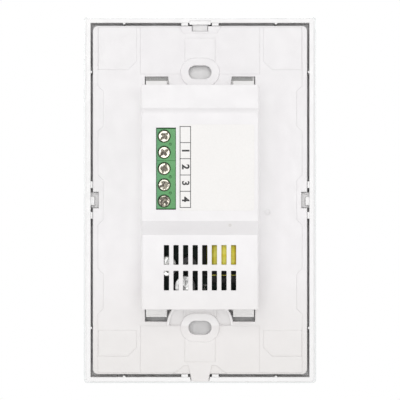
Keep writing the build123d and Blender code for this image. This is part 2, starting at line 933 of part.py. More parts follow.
def touch_controller():
    """Small-outline chip on the back of the touch board."""
    body_front = touch_board_back + 0.15
    body = block(
        (chip_x - chip_width / 2, chip_x + chip_width / 2),
        (body_front, body_front + chip_height),
        (chip_z - chip_length / 2, chip_z + chip_length / 2),
    )
    leads = []
    for i in range(lead_count):
        z = chip_z + (i - (lead_count - 1) / 2) * lead_pitch
        for side in (-1, 1):
            z_span = (z - lead_width / 2, z + lead_width / 2)
            knee = chip_x + side * (lead_span / 2 - 0.6)
            tip = chip_x + side * lead_span / 2
            root = chip_x + side * chip_width / 2
            leads.append(block((root, knee), (body_front + 0.6, body_front + 0.8), z_span))
            leads.append(block((knee, knee - side * 0.2), (touch_board_back, body_front + 0.8), z_span))
            leads.append(block((knee - side * 0.2, tip), (touch_board_back, touch_board_back + 0.2), z_span))
    return fuse_all(body, leads)


def radio_module():
    width = (-module_width / 2, module_width / 2)
    height = (module_z - module_height / 2, module_z + module_height / 2)
    return block(width, (touch_board_back, touch_board_back + module_thickness), height)


def radio_shield():
    face = touch_board_back + module_thickness
    half_w = module_width / 2 - shield_inset
    top = module_z + module_height / 2 - antenna_height
    bottom = module_z - module_height / 2 + shield_inset
    can = block((-half_w, half_w), (face, face + shield_height), (bottom, top))
    can = fillet(can.faces().sort_by(Axis.Y)[-1].edges(), 0.4)
    inside_x = (-half_w + 0.2, half_w - 0.2)
    inside = block(inside_x, (face, face + shield_height - 0.2), (bottom + 0.2, top - 0.2))
    return can - inside


def board_socket():
    half = pin_count * pin_pitch / 2
    z_span = (pin_row_z - socket_width / 2, pin_row_z + socket_width / 2)
    back = touch_board_back + socket_height
    body = block((-half, half), (touch_board_back, back), z_span)
    hole = pin_side / 2 + 0.12
    depth = socket_height - 2.0
    holes = []
    for x in pin_x:
        z_hole = (pin_row_z - hole, pin_row_z + hole)
        holes.append(block((x - hole, x + hole), (back - depth, back), z_hole))
    return cut_all(body, holes)


def pin_header():
    half = pin_count * pin_pitch / 2
    z_span = (pin_row_z - socket_width / 2, pin_row_z + socket_width / 2)
    front = touch_board_back + socket_height + contact_gap
    body = block((-half, half), (front, power_board_y), z_span)
    tip = front - (socket_height - 2.6)
    pins = []
    for x in pin_x:
        z_pin = (pin_row_z - pin_side / 2, pin_row_z + pin_side / 2)
        x_pin = (x - pin_side / 2, x + pin_side / 2)
        pins.append(block(x_pin, (tip, power_board_back + pin_tail), z_pin))
    return fuse_all(body, pins)


# Power board and what it carries


def relay_pins(z):
    """Coil pins at one end of a relay and contact pins at the other."""
    dx = relay_width / 2 - relay_pin_side
    dz = relay_length / 2 - relay_pin_end
    return [(relay_x + sx * dx, z + sz * dz) for sx in (-1, 1) for sz in (-1, 1)]


def transformer_pins():
    half = core_half_height + core_tape + core_gap + bobbin_rail / 2
    points = []
    for step in (-1.5, -0.5, 0.5, 1.5):
        x = coil_x + step * bobbin_pin_pitch
        points += [(x, coil_z + half), (x, coil_z - half)]
    return points


def two_leads(x, z, spread):
    return [(x - spread / 2, z), (x + spread / 2, z)]


def lead_points():
    points = transformer_pins()
    for z in relay_z:
        points += relay_pins(z)
    points += two_leads(output_cap_x, output_cap_z, output_cap_leads)
    points += two_leads(input_cap_x, input_cap_z, input_cap_leads)
    points += two_leads(inductor_x, inductor_z, inductor_leads)
    points += two_leads(middle_x, film_cap_z, film_cap_leads)
    points += two_leads(middle_x, varistor_z, varistor_leads)
    points += two_leads(middle_x, fuse_z, 2 * fuse_reach)
    return points + bridge_leads()


def bridge_leads():
    steps = [(sx * bridge_lead_x, sz * bridge_lead_z) for sx in (-1, 1) for sz in (-1, 1)]
    return [(middle_x + dx, bridge_z + dz) for dx, dz in steps]


def with_leads(body, points, seat):
    """A part on the power board with its leads, which run from the part through the board."""
    half = lead_diameter / 2
    for x, z in points:
        x_span = (x - half, x + half)
        z_span = (z - half, z + half)
        body = body + block(x_span, (power_board_y - lead_tail, seat), z_span)
    return body


def contact_leg_x():
    return chamber_inner_x - contact_thickness / 2 - 0.1


def power_board():
    half_w = cavity_half_width - board_clearance
    top = cavity_top - board_clearance
    bottom = cavity_bottom + board_clearance
    board = block((-half_w, half_w), (power_board_y, power_board_back), (bottom, top))
    cuts = []
    for x, z in board_screw_points:
        cuts.append(rod(x, z, board_screw_diameter + 0.4, power_board_y, power_board_back))
    half = lead_diameter / 2 + hole_clearance
    for x, z in lead_points():
        cuts.append(block((x - half, x + half), (power_board_y, power_board_back), (z - half, z + half)))
    half = pin_side / 2 + hole_clearance
    for x in pin_x:
        z_span = (pin_row_z - half, pin_row_z + half)
        cuts.append(block((x - half, x + half), (power_board_y, power_board_back), z_span))
    half_x = contact_thickness / 2 + hole_clearance
    half_z = contact_width / 2 + hole_clearance
    for z in pole_z:
        x = contact_leg_x()
        z_span = (z - half_z, z + half_z)
        cuts.append(block((x - half_x, x + half_x), (power_board_y, power_board_back), z_span))
    return cut_all(board, cuts)


def relay(z):
    seat = power_board_back + standoff
    outline = Pos(relay_x, z) * RectangleRounded(relay_width, relay_length, 0.6)
    case = slab(outline, seat, seat + relay_height)
    case = fillet(case.faces().sort_by(Axis.Y)[-1].edges(), 0.4)
    groove = Pos(relay_x, z) * RectangleRounded(relay_width + 1, relay_length + 1, 0.6)
    groove = groove - Pos(relay_x, z) * RectangleRounded(relay_width - 0.3, relay_length - 0.3, 0.5)
    case = case - slab(groove, seat + 0.9, seat + 1.1)
    return with_leads(case, relay_pins(z), seat + 0.1)


def coil_base():
    """Depth at which the underside of the winding lies."""
    return power_board_back + 0.6


def transformer_core():
    """Two E-shaped ferrite halves round the winding."""
    middle_y = coil_base() + coil_height / 2
    span_y = (middle_y - core_height / 2, middle_y + core_height / 2)
    half_x = core_half_width
    half_z = core_half_height
    ring = block((coil_x - half_x, coil_x + half_x), span_y, (coil_z - half_z, coil_z + half_z))
    hole_x = coil_width / 2 + core_gap
    hole_z = half_z - core_end
    ring = ring - block((coil_x - hole_x, coil_x + hole_x), span_y, (coil_z - hole_z, coil_z + hole_z))
    leg = core_middle_leg / 2
    leg_x = (coil_x - leg, coil_x + leg)
    return ring + block(leg_x, (middle_y - leg, middle_y + leg), (coil_z - half_z, coil_z + half_z))


def transformer_coil():
    """The taped winding, and the strip of tape round the core."""
    base = coil_base()
    middle_y = base + coil_height / 2
    low_z = coil_z - coil_length / 2
    section = Plane.XY.offset(low_z + 0.05) * Pos(coil_x, middle_y)
    section *= RectangleRounded(coil_width, coil_height, coil_round)
    winding = extrude(section, amount=coil_length - 0.1)
    hole = core_middle_leg / 2 + bobbin_tube_wall + 0.05
    hole_x = (coil_x - hole, coil_x + hole)
    winding = winding - block(hole_x, (middle_y - hole, middle_y + hole), (low_z - 1, -low_z))
    half_x = core_half_width
    half_z = core_half_height
    gap = 0.02
    outer = Rectangle(2 * (half_x + core_tape), 2 * (half_z + core_tape))
    inner = Rectangle(2 * (half_x + gap), 2 * (half_z + gap))
    span = core_height / 2 - 0.6
    strip = slab(Pos(coil_x, coil_z) * (outer - inner), middle_y - span, middle_y + span)
    return [winding, strip]


def transformer_bobbin():
    """The moulded former: a tube with two flanges, and the two pin rails below the core."""
    base = coil_base()
    middle_y = base + coil_height / 2
    hole = core_middle_leg / 2 + 0.05
    tube = core_middle_leg / 2 + bobbin_tube_wall
    half = coil_length / 2
    outer_z = (coil_z - half - bobbin_flange + 0.05, coil_z + half + bobbin_flange - 0.05)
    body = block((coil_x - tube, coil_x + tube), (middle_y - tube, middle_y + tube), outer_z)
    core_low = middle_y - core_height / 2
    rail_start = core_half_height + core_tape + core_gap
    for side in (-1, 1):
        inner = coil_z + side * half
        outer = coil_z + side * (half + bobbin_flange - 0.05)
        width = (coil_x - coil_width / 2, coil_x + coil_width / 2)
        body = body + block(width, (base, base + coil_height), (inner, outer))
        floor = block(width, (base, core_low - 0.1), (outer, coil_z + side * (rail_start + 0.1)))
        rail_z = (coil_z + side * rail_start, coil_z + side * (rail_start + bobbin_rail))
        rail = block(width, (base, base + bobbin_rail_height), rail_z)
        body = body + floor + rail
    bore_z = (coil_z - coil_length, coil_z + coil_length)
    body = body - block((coil_x - hole, coil_x + hole), (middle_y - hole, middle_y + hole), bore_z)
    return with_leads(body, transformer_pins(), base + 1.0)


def can_capacitor(x, z, diameter, height, lead_spread):
    """Electrolytic capacitor: a can with a crimp groove low down and a scored top."""
    seat = power_board_back + standoff
    body = rod(x, z, diameter, seat, seat + height)
    body = fillet(body.faces().sort_by(Axis.Y)[-1].edges(), 0.4)
    ring = Pos(x, z) * (Circle(diameter / 2 + 1) - Circle(diameter / 2 - cap_groove))
    body = body - slab(ring, seat + 1.2, seat + 1.8)
    score = 0.15
    top = (seat + height - score, seat + height + 1)
    half = diameter * 0.3
    body = body - block((x - half, x + half), top, (z - 0.15, z + 0.15))
    body = body - block((x - 0.15, x + 0.15), top, (z - half, z + half))
    return with_leads(body, two_leads(x, z, lead_spread), seat + 0.1)


def filter_inductor():
    """Drum core choke in a sleeve."""
    seat = power_board_back + standoff
    body = rod(inductor_x, inductor_z, inductor_diameter, seat, seat + inductor_height)
    body = chamfer(body.faces().sort_by(Axis.Y)[-1].edges(), inductor_chamfer)
    top = seat + inductor_height
    dimple = rod(inductor_x, inductor_z, inductor_dimple, top - inductor_chamfer, top)
    return with_leads(body - dimple, two_leads(inductor_x, inductor_z, inductor_leads), seat + 0.1)


def noise_capacitor():
    seat = power_board_back + standoff
    half_l = film_cap_length / 2
    half_w = film_cap_width / 2
    body = block(
        (middle_x - half_l, middle_x + half_l),
        (seat, seat + film_cap_height),
        (film_cap_z - half_w, film_cap_z + half_w),
    )
    body = chamfer(body.faces().sort_by(Axis.Y)[-1].edges(), 0.3)
    return with_leads(body, two_leads(middle_x, film_cap_z, film_cap_leads), seat + 0.1)


def varistor():
    """Disc on two leads, standing on the board."""
    seat = power_board_back + 1.0
    centre = (middle_x, seat + varistor_diameter / 2, varistor_z)
    disc = Pos(*centre) * Cylinder(varistor_diameter / 2, varistor_thickness)
    disc = chamfer(disc.edges(), 0.8)
    return with_leads(disc, two_leads(middle_x, varistor_z, varistor_leads), seat + 1.2)


def fusible_resistor():
    """Resistor lying on the board, its two leads bent down."""
    centre_y = power_board_back + standoff + fuse_diameter / 2
    body = Pos(middle_x, centre_y, fuse_z) * Rot(0, 90, 0) * Cylinder(fuse_diameter / 2, fuse_length)
    body = chamfer(body.edges(), 0.5)
    half = lead_diameter / 2
    reach = fuse_reach + half
    wire_x = (middle_x - reach, middle_x + reach)
    wire = block(wire_x, (centre_y - half, centre_y + half), (fuse_z - half, fuse_z + half))
    return with_leads(body + wire, two_leads(middle_x, fuse_z, 2 * fuse_reach), centre_y)


def bridge_rectifier():
    seat = power_board_back + standoff
    half_l = bridge_length / 2
    half_w = bridge_width / 2
    body = block(
        (middle_x - half_l, middle_x + half_l),
        (seat, seat + bridge_height),
        (bridge_z - half_w, bridge_z + half_w),
    )
    body = chamfer(body.faces().sort_by(Axis.Y)[-1].edges(), 0.5)
    return with_leads(body, bridge_leads(), seat + 0.1)


# Screws


def cross_recess(x, z, head_y, length):
    """Two crossed grooves in the head of a screw that is driven from the room side."""
    span = (head_y, head_y + recess_depth)
    half = length / 2
    w = recess_width / 2
    return [
        block((x - half, x + half), span, (z - w, z + w)),
        block((x - w, x + w), span, (z - half, z + half)),
    ]


def screw(x, z, seat_y, head_diameter, head_height, diameter, length):
    """Pan-head screw driven from the room side."""
    head = rod(x, z, head_diameter, seat_y - head_height, seat_y)
    head = chamfer(head.faces().sort_by(Axis.Y)[0].edges(), head_height * 0.35)
    body = head + rod(x, z, diameter, seat_y, seat_y + length)
    return cut_all(body, cross_recess(x, z, seat_y - head_height, head_diameter * 0.6))


def touch_board_screws():
    sizes = (touch_screw_head, touch_screw_head_height, touch_screw_diameter, touch_screw_length)
    return [screw(x, z, touch_board_front, *sizes) for x, z in touch_screw_points]


def power_board_screws():
    sizes = (board_screw_head, board_screw_head_height, board_screw_diameter, board_screw_length)
    return [screw(x, z, power_board_y, *sizes) for x, z in board_screw_points]


# Screw terminals


def terminal_block(first, count):
    """Moulded block for a number of poles, from its top pole down."""
    shoulder = middle_depth - box_wall - shoulder_clearance
    profile = Polygon(
        (block_inner_x, power_board_back),
        (block_outer_x, power_board_back),
        (block_outer_x, funnel_top_y),
        (shoulder_x, shoulder_y),
        (shoulder_x, shoulder),
        (tower_outer_x, shoulder),
        (tower_outer_x, tower_top),
        (tower_inner_x, tower_top),
        (tower_inner_x, shoulder),
        (block_inner_x, shoulder),
        align=None,
    )
    top = terminal_top_z - first * terminal_pitch
    bottom = top - count * terminal_pitch
    body = extrude(Plane.XY.offset(bottom + 0.02) * profile, amount=top - bottom - 0.04)
    # the tower stands back a little from the window at each end of the row
    tower_y = (shoulder, tower_top + 1)
    tower_x = (tower_inner_x - 0.1, tower_outer_x + 0.1)
    cuts = []
    if first == 0:
        cuts.append(block(tower_x, tower_y, (top - tower_end_gap, top + 1)))
    else:
        cuts.append(block(tower_x, tower_y, (bottom - 1, bottom + tower_end_gap)))
    for z in pole_z[first : first + count]:
        half = chamber_width / 2
        chamber_y = (chamber_bottom, chamber_top)
        cuts.append(block((chamber_inner_x, chamber_outer_x), chamber_y, (z - half, z + half)))
        head_seat = chamber_top + screw_shoulder
        head_hole = screw_head_diameter + 2 * screw_hole_gap
        cuts.append(rod(terminal_x, z, head_hole, head_seat, tower_top + 1))
        cuts.append(rod(terminal_x, z, screw_diameter + 2 * screw_hole_gap, chamber_top, head_seat))
        # wire funnel
        low_y = cage_bottom + cage_floor
        funnel_y = (low_y, low_y + funnel_height)
        fz = funnel_width / 2
        cuts.append(block((chamber_outer_x - 0.1, block_outer_x + 0.1), funnel_y, (z - fz, z + fz)))
        middle = (funnel_y[0] + funnel_y[1]) / 2
        inner = Plane.YZ.offset(block_outer_x - funnel_mouth) * Pos(middle, z)
        inner *= Rectangle(funnel_height, funnel_width)
        outer = Plane.YZ.offset(block_outer_x) * Pos(middle, z)
        outer *= Rectangle(funnel_height + 2 * funnel_mouth, funnel_width + 2 * funnel_mouth)
        cuts.append(loft([inner, outer]))
        # slot for the contact's leg, which runs down into the board
        leg = contact_leg_x()
        leg_half = contact_thickness / 2 + 0.05
        leg_x = (leg - leg_half, chamber_inner_x + 0.1)
        width = contact_width / 2 + 0.05
        cuts.append(block(leg_x, (power_board_back, contact_back + 0.05), (z - width, z + width)))
    # dimples between the poles, one in the two-way block and two in the three-way block
    for z in pole_z[first : first + count - 1]:
        place = (terminal_x - dimple_step, z - terminal_pitch / 2)
        cuts.append(rod(*place, dimple_diameter, tower_top - dimple_depth, tower_top + 1))
    return cut_all(body, cuts)


def terminal_contacts():
    """In each pole a bar through the cage, bent down into a leg that runs through the board."""
    bars = []
    leg = contact_leg_x()
    inner = leg - contact_thickness / 2
    for z in pole_z:
        z_span = (z - contact_width / 2, z + contact_width / 2)
        bar = block((inner, chamber_outer_x - 0.15), (contact_front, contact_back), z_span)
        stem = block((inner, inner + contact_thickness), (power_board_y - lead_tail, contact_back), z_span)
        bars.append(bar + stem)
    return bars


def terminal_recess(head_back, turned):
    """Crossed grooves with a longer and shallower slot through them, turned about the screw's axis."""
    deep = (head_back - recess_depth, head_back)
    cross = (screw_cross_length / 2, screw_cross_width / 2)
    slot = (screw_slot_length / 2, screw_slot_width / 2)
    grooves = [
        block((-cross[0], cross[0]), deep, (-cross[1], cross[1])),
        block((-cross[1], cross[1]), deep, (-cross[0], cross[0])),
        block((-slot[0], slot[0]), (head_back - screw_slot_depth, head_back), (-slot[1], slot[1])),
    ]
    return [Rot(0, turned, 0) * groove for groove in grooves]


def terminal_screw(z, turned):
    head_back = tower_top - screw_sink
    head_front = head_back - screw_head_height
    head = rod(terminal_x, z, screw_head_diameter, head_front + 0.03, head_back)
    head = chamfer(head.faces().sort_by(Axis.Y)[-1].edges(), screw_head_chamfer)
    body = head + rod(terminal_x, z, screw_diameter, contact_back + contact_gap, head_back - 0.5)
    return cut_all(body, [Pos(terminal_x, 0, z) * g for g in terminal_recess(head_back, turned)])


def wire_clamp(z):
    """Cage with a threaded roof, which the screw draws up against the contact bar."""
    half_x = chamber_length / 2 - cage_clearance
    half_z = chamber_width / 2 - cage_clearance
    x_span = (terminal_x - half_x, terminal_x + half_x)
    body = block(x_span, (cage_bottom, cage_bottom + cage_height), (z - half_z, z + half_z))
    window_y = (cage_bottom + cage_floor, cage_bottom + cage_floor + cage_window)
    inner = half_z - cage_wall
    body = body - block((x_span[0] - 1, x_span[1] + 1), window_y, (z - inner, z + inner))
    thread = screw_diameter + 2 * thread_clearance
    return body - rod(terminal_x, z, thread, window_y[1] - 0.1, cage_bottom + cage_height + 1)


def rating_label():
    width = label_left_x - label_right_x
    height = label_top_z - label_bottom_z
    centre = ((label_left_x + label_right_x) / 2, (label_top_z + label_bottom_z) / 2)
    outline = Pos(*centre) * RectangleRounded(width, height, label_corner)
    return slab(outline, middle_depth, middle_depth + label_thickness)


pieces = {
    "glass_panel": glass_panel(),
    "panel_adhesive": panel_adhesive(),
    "front_frame": front_frame(),
    "rear_housing": rear_housing(),
    "inner_chassis": inner_chassis(),
    "touch_board": touch_board(),
    "touch_springs": touch_springs(),
    "light_guides": light_guides(),
    "indicator_leds": indicator_leds(),
    "touch_controller": touch_controller(),
    "radio_module": radio_module(),
    "radio_shield": radio_shield(),
    "board_socket": board_socket(),
    "pin_header": pin_header(),
    "touch_board_screws": touch_board_screws(),
    "power_board": power_board(),
    "power_board_screws": power_board_screws(),
    "terminal_block_two_way": terminal_block(0, two_way_poles),
    "terminal_block_three_way": terminal_block(two_way_poles, three_way_poles),
    "terminal_contacts": terminal_contacts(),
    "relay_upper": relay(relay_z[0]),
    "relay_lower": relay(relay_z[1]),
    "transformer_core": transformer_core(),
    "transformer_coil": transformer_coil(),
    "transformer_bobbin": transformer_bobbin(),
    "output_capacitor": can_capacitor(
        output_cap_x, output_cap_z, output_cap_diameter, output_cap_height, output_cap_leads
    ),
    "input_capacitor": can_capacitor(
        input_cap_x, input_cap_z, input_cap_diameter, input_cap_height, input_cap_leads
    ),
    "filter_inductor": filter_inductor(),
    "noise_capacitor": noise_capacitor(),
    "varistor": varistor(),
    "fusible_resistor": fusible_resistor(),
    "bridge_rectifier": bridge_rectifier(),
    "rating_label": rating_label(),
}
for number, z in enumerate(pole_z, start=1):
    pieces[f"terminal_screw_{number}"] = terminal_screw(z, screw_turned[number - 1])
    pieces[f"wire_clamp_{number}"] = wire_clamp(z)

os.makedirs("parts", exist_ok=True)
for name, piece in pieces.items():
    solids = []
    for shape in piece if isinstance(piece, list) else [piece]:
        solids += shape.solids()
    export_step(Compound(label=name, children=solids), f"parts/{name}.step")
    print(name, len(solids), "solids")
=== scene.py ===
# Scene of the smart touch switch: finishes of the CAD nodes, small pieces, floor, light and camera
import math

import bmesh
import bpy
from mathutils import Matrix, Vector


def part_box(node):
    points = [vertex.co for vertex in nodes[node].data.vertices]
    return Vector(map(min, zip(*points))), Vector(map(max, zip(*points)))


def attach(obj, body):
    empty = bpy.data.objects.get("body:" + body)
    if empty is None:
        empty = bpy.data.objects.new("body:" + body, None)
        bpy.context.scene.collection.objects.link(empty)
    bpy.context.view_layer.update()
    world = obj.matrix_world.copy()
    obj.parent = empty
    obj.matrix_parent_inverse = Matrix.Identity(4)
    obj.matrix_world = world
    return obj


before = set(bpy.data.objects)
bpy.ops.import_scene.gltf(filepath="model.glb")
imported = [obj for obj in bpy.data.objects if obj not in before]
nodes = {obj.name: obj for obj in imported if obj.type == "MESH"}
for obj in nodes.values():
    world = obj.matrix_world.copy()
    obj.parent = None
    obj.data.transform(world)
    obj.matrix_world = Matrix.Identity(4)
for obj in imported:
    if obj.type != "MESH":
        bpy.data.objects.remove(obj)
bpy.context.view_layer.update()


def tone(red, green, blue):
    """A colour given as it looks on screen, 0 to 255, as the linear colour that shaders take."""
    out = []
    for value in (red, green, blue):
        value /= 255
        out.append(value / 12.92 if value <= 0.04045 else ((value + 0.055) / 1.055) ** 2.4)
    return (*out, 1.0)


def darker(colour, share):
    return tuple(c * share for c in colour[:3]) + (1.0,)


def middle_of(name):
    low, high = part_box(name)
    return (low + high) / 2


# Measures of the part that the finishes follow, in metres
slot_z = 0.04165
key_heights = (0.018, -0.018)
leads_start = 0.0102
resistor_x = middle_of("fusible_resistor").x
screw_x = middle_of("terminal_screw_1").x
screw_heights = [middle_of(f"terminal_screw_{number}").z for number in range(1, 6)]
# how far from its middle the dark patch of each screw reaches, from the top screw to the lowest
dark_patch_reach = (0.0009, 0.0009, 0.001, 0.00115, 0.0015)

tin = tone(205, 204, 200)


class Surface:
    """One procedural material. Its texture space is the part's own frame, in metres."""

    def __init__(self, name):
        self.material = bpy.data.materials.new(name)
        self.material.use_nodes = True
        self.tree = self.material.node_tree
        self.tree.nodes.clear()
        self.shader = self.node("ShaderNodeBsdfPrincipled")
        self.output = self.node("ShaderNodeOutputMaterial")
        self.tree.links.new(self.shader.outputs[0], self.output.inputs[0])
        self.place = self.node("ShaderNodeTexCoord").outputs["Object"]
        self.parts = self.node("ShaderNodeSeparateXYZ")
        self.tree.links.new(self.place, self.parts.inputs[0])
        self.x, self.y, self.z = self.parts.outputs

    def node(self, kind, **settings):
        made = self.tree.nodes.new(kind)
        for key, value in settings.items():
            setattr(made, key, value)
        return made

    def put(self, socket, value):
        if isinstance(value, bpy.types.NodeSocket):
            self.tree.links.new(value, socket)
        else:
            socket.default_value = value

    def shade(self, **values):
        """Sets sockets of the shader. An underscore in a name stands for a space."""
        for key, value in values.items():
            self.put(self.shader.inputs[key.replace("_", " ")], value)

    def colour(self):
        """The colour that reaches the shader so far."""
        return self.shader.inputs["Base Color"].links[0].from_socket

    def math(self, operation, first, second=0.0):
        made = self.node("ShaderNodeMath", operation=operation)
        self.put(made.inputs[0], first)
        self.put(made.inputs[1], second)
        return made.outputs[0]

    def mix(self, factor, first, second):
        """A colour between two."""
        made = self.node("ShaderNodeMix", data_type="RGBA")
        self.put(made.inputs[0], factor)
        self.put(made.inputs[6], first)
        self.put(made.inputs[7], second)
        return made.outputs[2]

    def blend(self, factor, first, second):
        """A number between two."""
        made = self.node("ShaderNodeMix", data_type="FLOAT")
        self.put(made.inputs[0], factor)
        self.put(made.inputs[2], first)
        self.put(made.inputs[3], second)
        return made.outputs[0]

    def tint(self, base, mask, share, colour):
        """Base with a share of another colour where the mask is 1."""
        return self.mix(self.math("MULTIPLY", mask, share), base, colour)

    def stretched(self, stretch):
        made = self.node("ShaderNodeMapping")
        self.put(made.inputs["Vector"], self.place)
        made.inputs["Scale"].default_value = stretch
        return made.outputs[0]

    def noise(self, size, detail=2.0, rough=0.5, stretch=None):
        """Noise whose features are about size metres across."""
        made = self.node("ShaderNodeTexNoise")
        self.put(made.inputs["Vector"], self.stretched(stretch) if stretch else self.place)
        made.inputs["Scale"].default_value = 1 / size
        made.inputs["Detail"].default_value = detail
        made.inputs["Roughness"].default_value = rough
        return made.outputs[0]

    def cells(self, size):
        """Distance to the nearest of the points strewn about size metres apart."""
        made = self.node("ShaderNodeTexVoronoi")
        self.put(made.inputs["Vector"], self.place)
        made.inputs["Scale"].default_value = 1 / size
        return made.outputs["Distance"]

    def step(self, value, low, high):
        """0 below low, 1 above high and smooth between. low may be the greater one."""
        made = self.node("ShaderNodeMapRange", interpolation_type="SMOOTHSTEP")
        self.put(made.inputs["Value"], value)
        made.inputs["From Min"].default_value = low
        made.inputs["From Max"].default_value = high
        return made.outputs[0]

    def away(self, value, centre):
        """How far a value lies from a centre, either way."""
        return self.math("ABSOLUTE", self.math("SUBTRACT", value, centre))

    def band(self, value, centre, half, soft):
        """1 where value lies within half of centre."""
        return self.step(self.away(value, centre), half + soft, half - soft)

    def both(self, first, second):
        return self.math("MULTIPLY", first, second)

    def either(self, first, second):
        return self.math("MAXIMUM", first, second)

    def flip(self, value):
        return self.math("SUBTRACT", 1.0, value)

    def radius(self, x, z):
        """Distance in metres from a line along Y."""
        dx = self.math("SUBTRACT", self.x, x)
        dz = self.math("SUBTRACT", self.z, z)
        squares = self.math("ADD", self.math("MULTIPLY", dx, dx), self.math("MULTIPLY", dz, dz))
        return self.math("SQRT", squares)

    def rings(self, away, pitch):
        """Waves of a pitch in metres, going out from where away is 0."""
        return self.math("SINE", self.math("MULTIPLY", away, 2 * math.pi / pitch))

    def facing(self, axis):
        """How far the surface faces along an axis of the part, either way."""
        geometry = self.node("ShaderNodeNewGeometry")
        made = self.node("ShaderNodeSeparateXYZ")
        self.put(made.inputs[0], geometry.outputs["Normal"])
        return self.math("ABSOLUTE", made.outputs[axis])

    def bevel(self, radius):
        made = self.node("ShaderNodeBevel", samples=6)
        made.inputs["Radius"].default_value = radius
        return made.outputs[0]

    def edges(self, radius):
        """Near 1 along sharp edges and 0 elsewhere."""
        dot = self.node("ShaderNodeVectorMath", operation="DOT_PRODUCT")
        self.put(dot.inputs[0], self.bevel(radius))
        self.put(dot.inputs[1], self.node("ShaderNodeNewGeometry").outputs["Normal"])
        return self.step(dot.outputs["Value"], 0.995, 0.86)

    def relief(self, height, strength, depth, normal=None):
        made = self.node("ShaderNodeBump")
        made.inputs["Strength"].default_value = strength
        made.inputs["Distance"].default_value = depth
        self.put(made.inputs["Height"], height)
        if normal is not None:
            self.put(made.inputs["Normal"], normal)
        return made.outputs[0]


def moulded(
    name, colour, rough=0.42, grain=0.00018, strength=0.22, variation=0.035, rounding=0.00018
):
    """Moulded plastic with a fine spark texture, faint flow variation and softened edges."""
    s = Surface(name)
    cloud = s.noise(0.014, 3, 0.55)
    speck = s.noise(0.0011, 2)
    mottle = s.blend(0.3, cloud, speck)
    base = s.mix(s.step(mottle, 0.3, 0.7), darker(colour, 1 - variation), colour)
    # painted shade: sharp edges and creases are tinted a little darker
    base = s.tint(base, s.edges(rounding * 1.5), 0.25, darker(colour, 0.93))
    s.shade(Base_Color=base, IOR=1.49)
    s.shade(Roughness=s.blend(s.step(s.noise(0.004, 3), 0.3, 0.7), rough - 0.05, rough + 0.07))
    fine = s.noise(grain, 2, 0.6)
    wide = s.relief(cloud, 0.12, 0.0003, s.bevel(rounding))
    s.shade(Normal=s.relief(fine, strength, grain * 0.12, wide))
    return s


def metal(name, colour, rough=0.28, streak=(1, 12, 1), variation=0.12, grain=0.0004):
    """Plated or drawn metal with streaks, smudges and a duller bloom."""
    s = Surface(name)
    streaks = s.noise(grain, 3, 0.6, streak)
    smudge = s.noise(0.0025, 3)
    base = s.mix(s.step(streaks, 0.25, 0.75), darker(colour, 1 - variation), colour)
    base = s.tint(base, s.step(smudge, 0.55, 0.8), 0.35, darker(colour, 0.72))
    s.shade(Base_Color=base, Metallic=1.0)
    s.shade(Roughness=s.blend(s.step(smudge, 0.3, 0.75), rough - 0.06, rough + 0.14))
    s.shade(Normal=s.relief(streaks, 0.2, 0.00002, s.bevel(0.00012)))
    return s


def with_metal_below(s, y):
    """Leads: everything on the room side of a depth is tinned metal."""
    lead = s.step(s.y, y + 0.00008, y - 0.00002)
    s.shade(Base_Color=s.mix(lead, s.colour(), tone(196, 194, 188)), Metallic=lead)
    return s


def housing_plastic():
    s = moulded("housing_white", tone(242, 240, 241), 0.40, 0.00016, 0.2, variation=0.018)
    # painted shade: the plate is a little darker and warmer towards its lower end, where less light
    # falls
    low_end_shade = s.step(s.z, -0.012, -0.056)
    base = s.tint(s.colour(), low_end_shade, 0.85, tone(233, 230, 228))
    # painted light against shade: the plate is paler beside the upper part of the box, and in the
    # arch at the lower slot
    plate_y, arch_radius, arch_bottom, slot_reach = 0.001, 0.0109, -0.041, 0.0061
    lower_slot, upper_slot = s.radius(0.0, -slot_z), s.radius(0.0, slot_z)
    beside = s.both(s.step(s.math("ABSOLUTE", s.x), 0.0258, 0.0212), s.step(s.z, 0.036, 0.031))
    beside = s.both(beside, s.step(s.z, -0.03, -0.004))
    arch = s.step(lower_slot, arch_radius + 0.0003, arch_radius - 0.0004)
    arch = s.both(arch, s.step(s.z, arch_bottom - 0.0004, arch_bottom + 0.0004))
    on_plate = s.step(s.y, plate_y + 0.0002, plate_y - 0.0002)
    painted_light_part = s.math("MULTIPLY", s.both(s.either(arch, beside), on_plate), 0.55)
    # and painted light: palest on the walls of both slots
    nearest = s.math("MINIMUM", lower_slot, upper_slot)
    near_slot = s.step(nearest, slot_reach + 0.0001, slot_reach - 0.0001)
    painted_light_slot_wall = s.both(near_slot, s.step(s.facing(1), 0.6, 0.3))
    base = s.mix(s.either(painted_light_part, painted_light_slot_wall), base, tone(254, 253, 253))
    # a small round rub mark on the slope under the label
    rub_place, rub_radius, rub_half = (-0.0094, -0.0079), 0.0003, 0.00016
    rub = s.band(s.radius(*rub_place), rub_radius, rub_half, 0.0001)
    rub = s.both(rub, s.step(s.y, 0.021, 0.0215))
    s.shade(Base_Color=s.tint(base, rub, 0.5, tone(206, 202, 196)))
    s.shade(Subsurface_Weight=0.06, Subsurface_Radius=(0.6, 0.6, 0.6), Subsurface_Scale=0.0006)
    return s


def frame_plastic():
    """White frame, with painted light: palest on the pads that show through the mounting slots."""
    s = moulded("frame_white", tone(245, 244, 244), 0.32, 0.00014, 0.14, variation=0.02)
    height = s.math("ABSOLUTE", s.z)
    painted_light_pads = s.both(s.step(height, 0.0375, 0.038), s.step(height, 0.0455, 0.045))
    painted_light_pads = s.both(painted_light_pads, s.step(s.math("ABSOLUTE", s.x), 0.0065, 0.006))
    s.shade(Base_Color=s.mix(painted_light_pads, s.colour(), tone(254, 253, 253)))
    return s


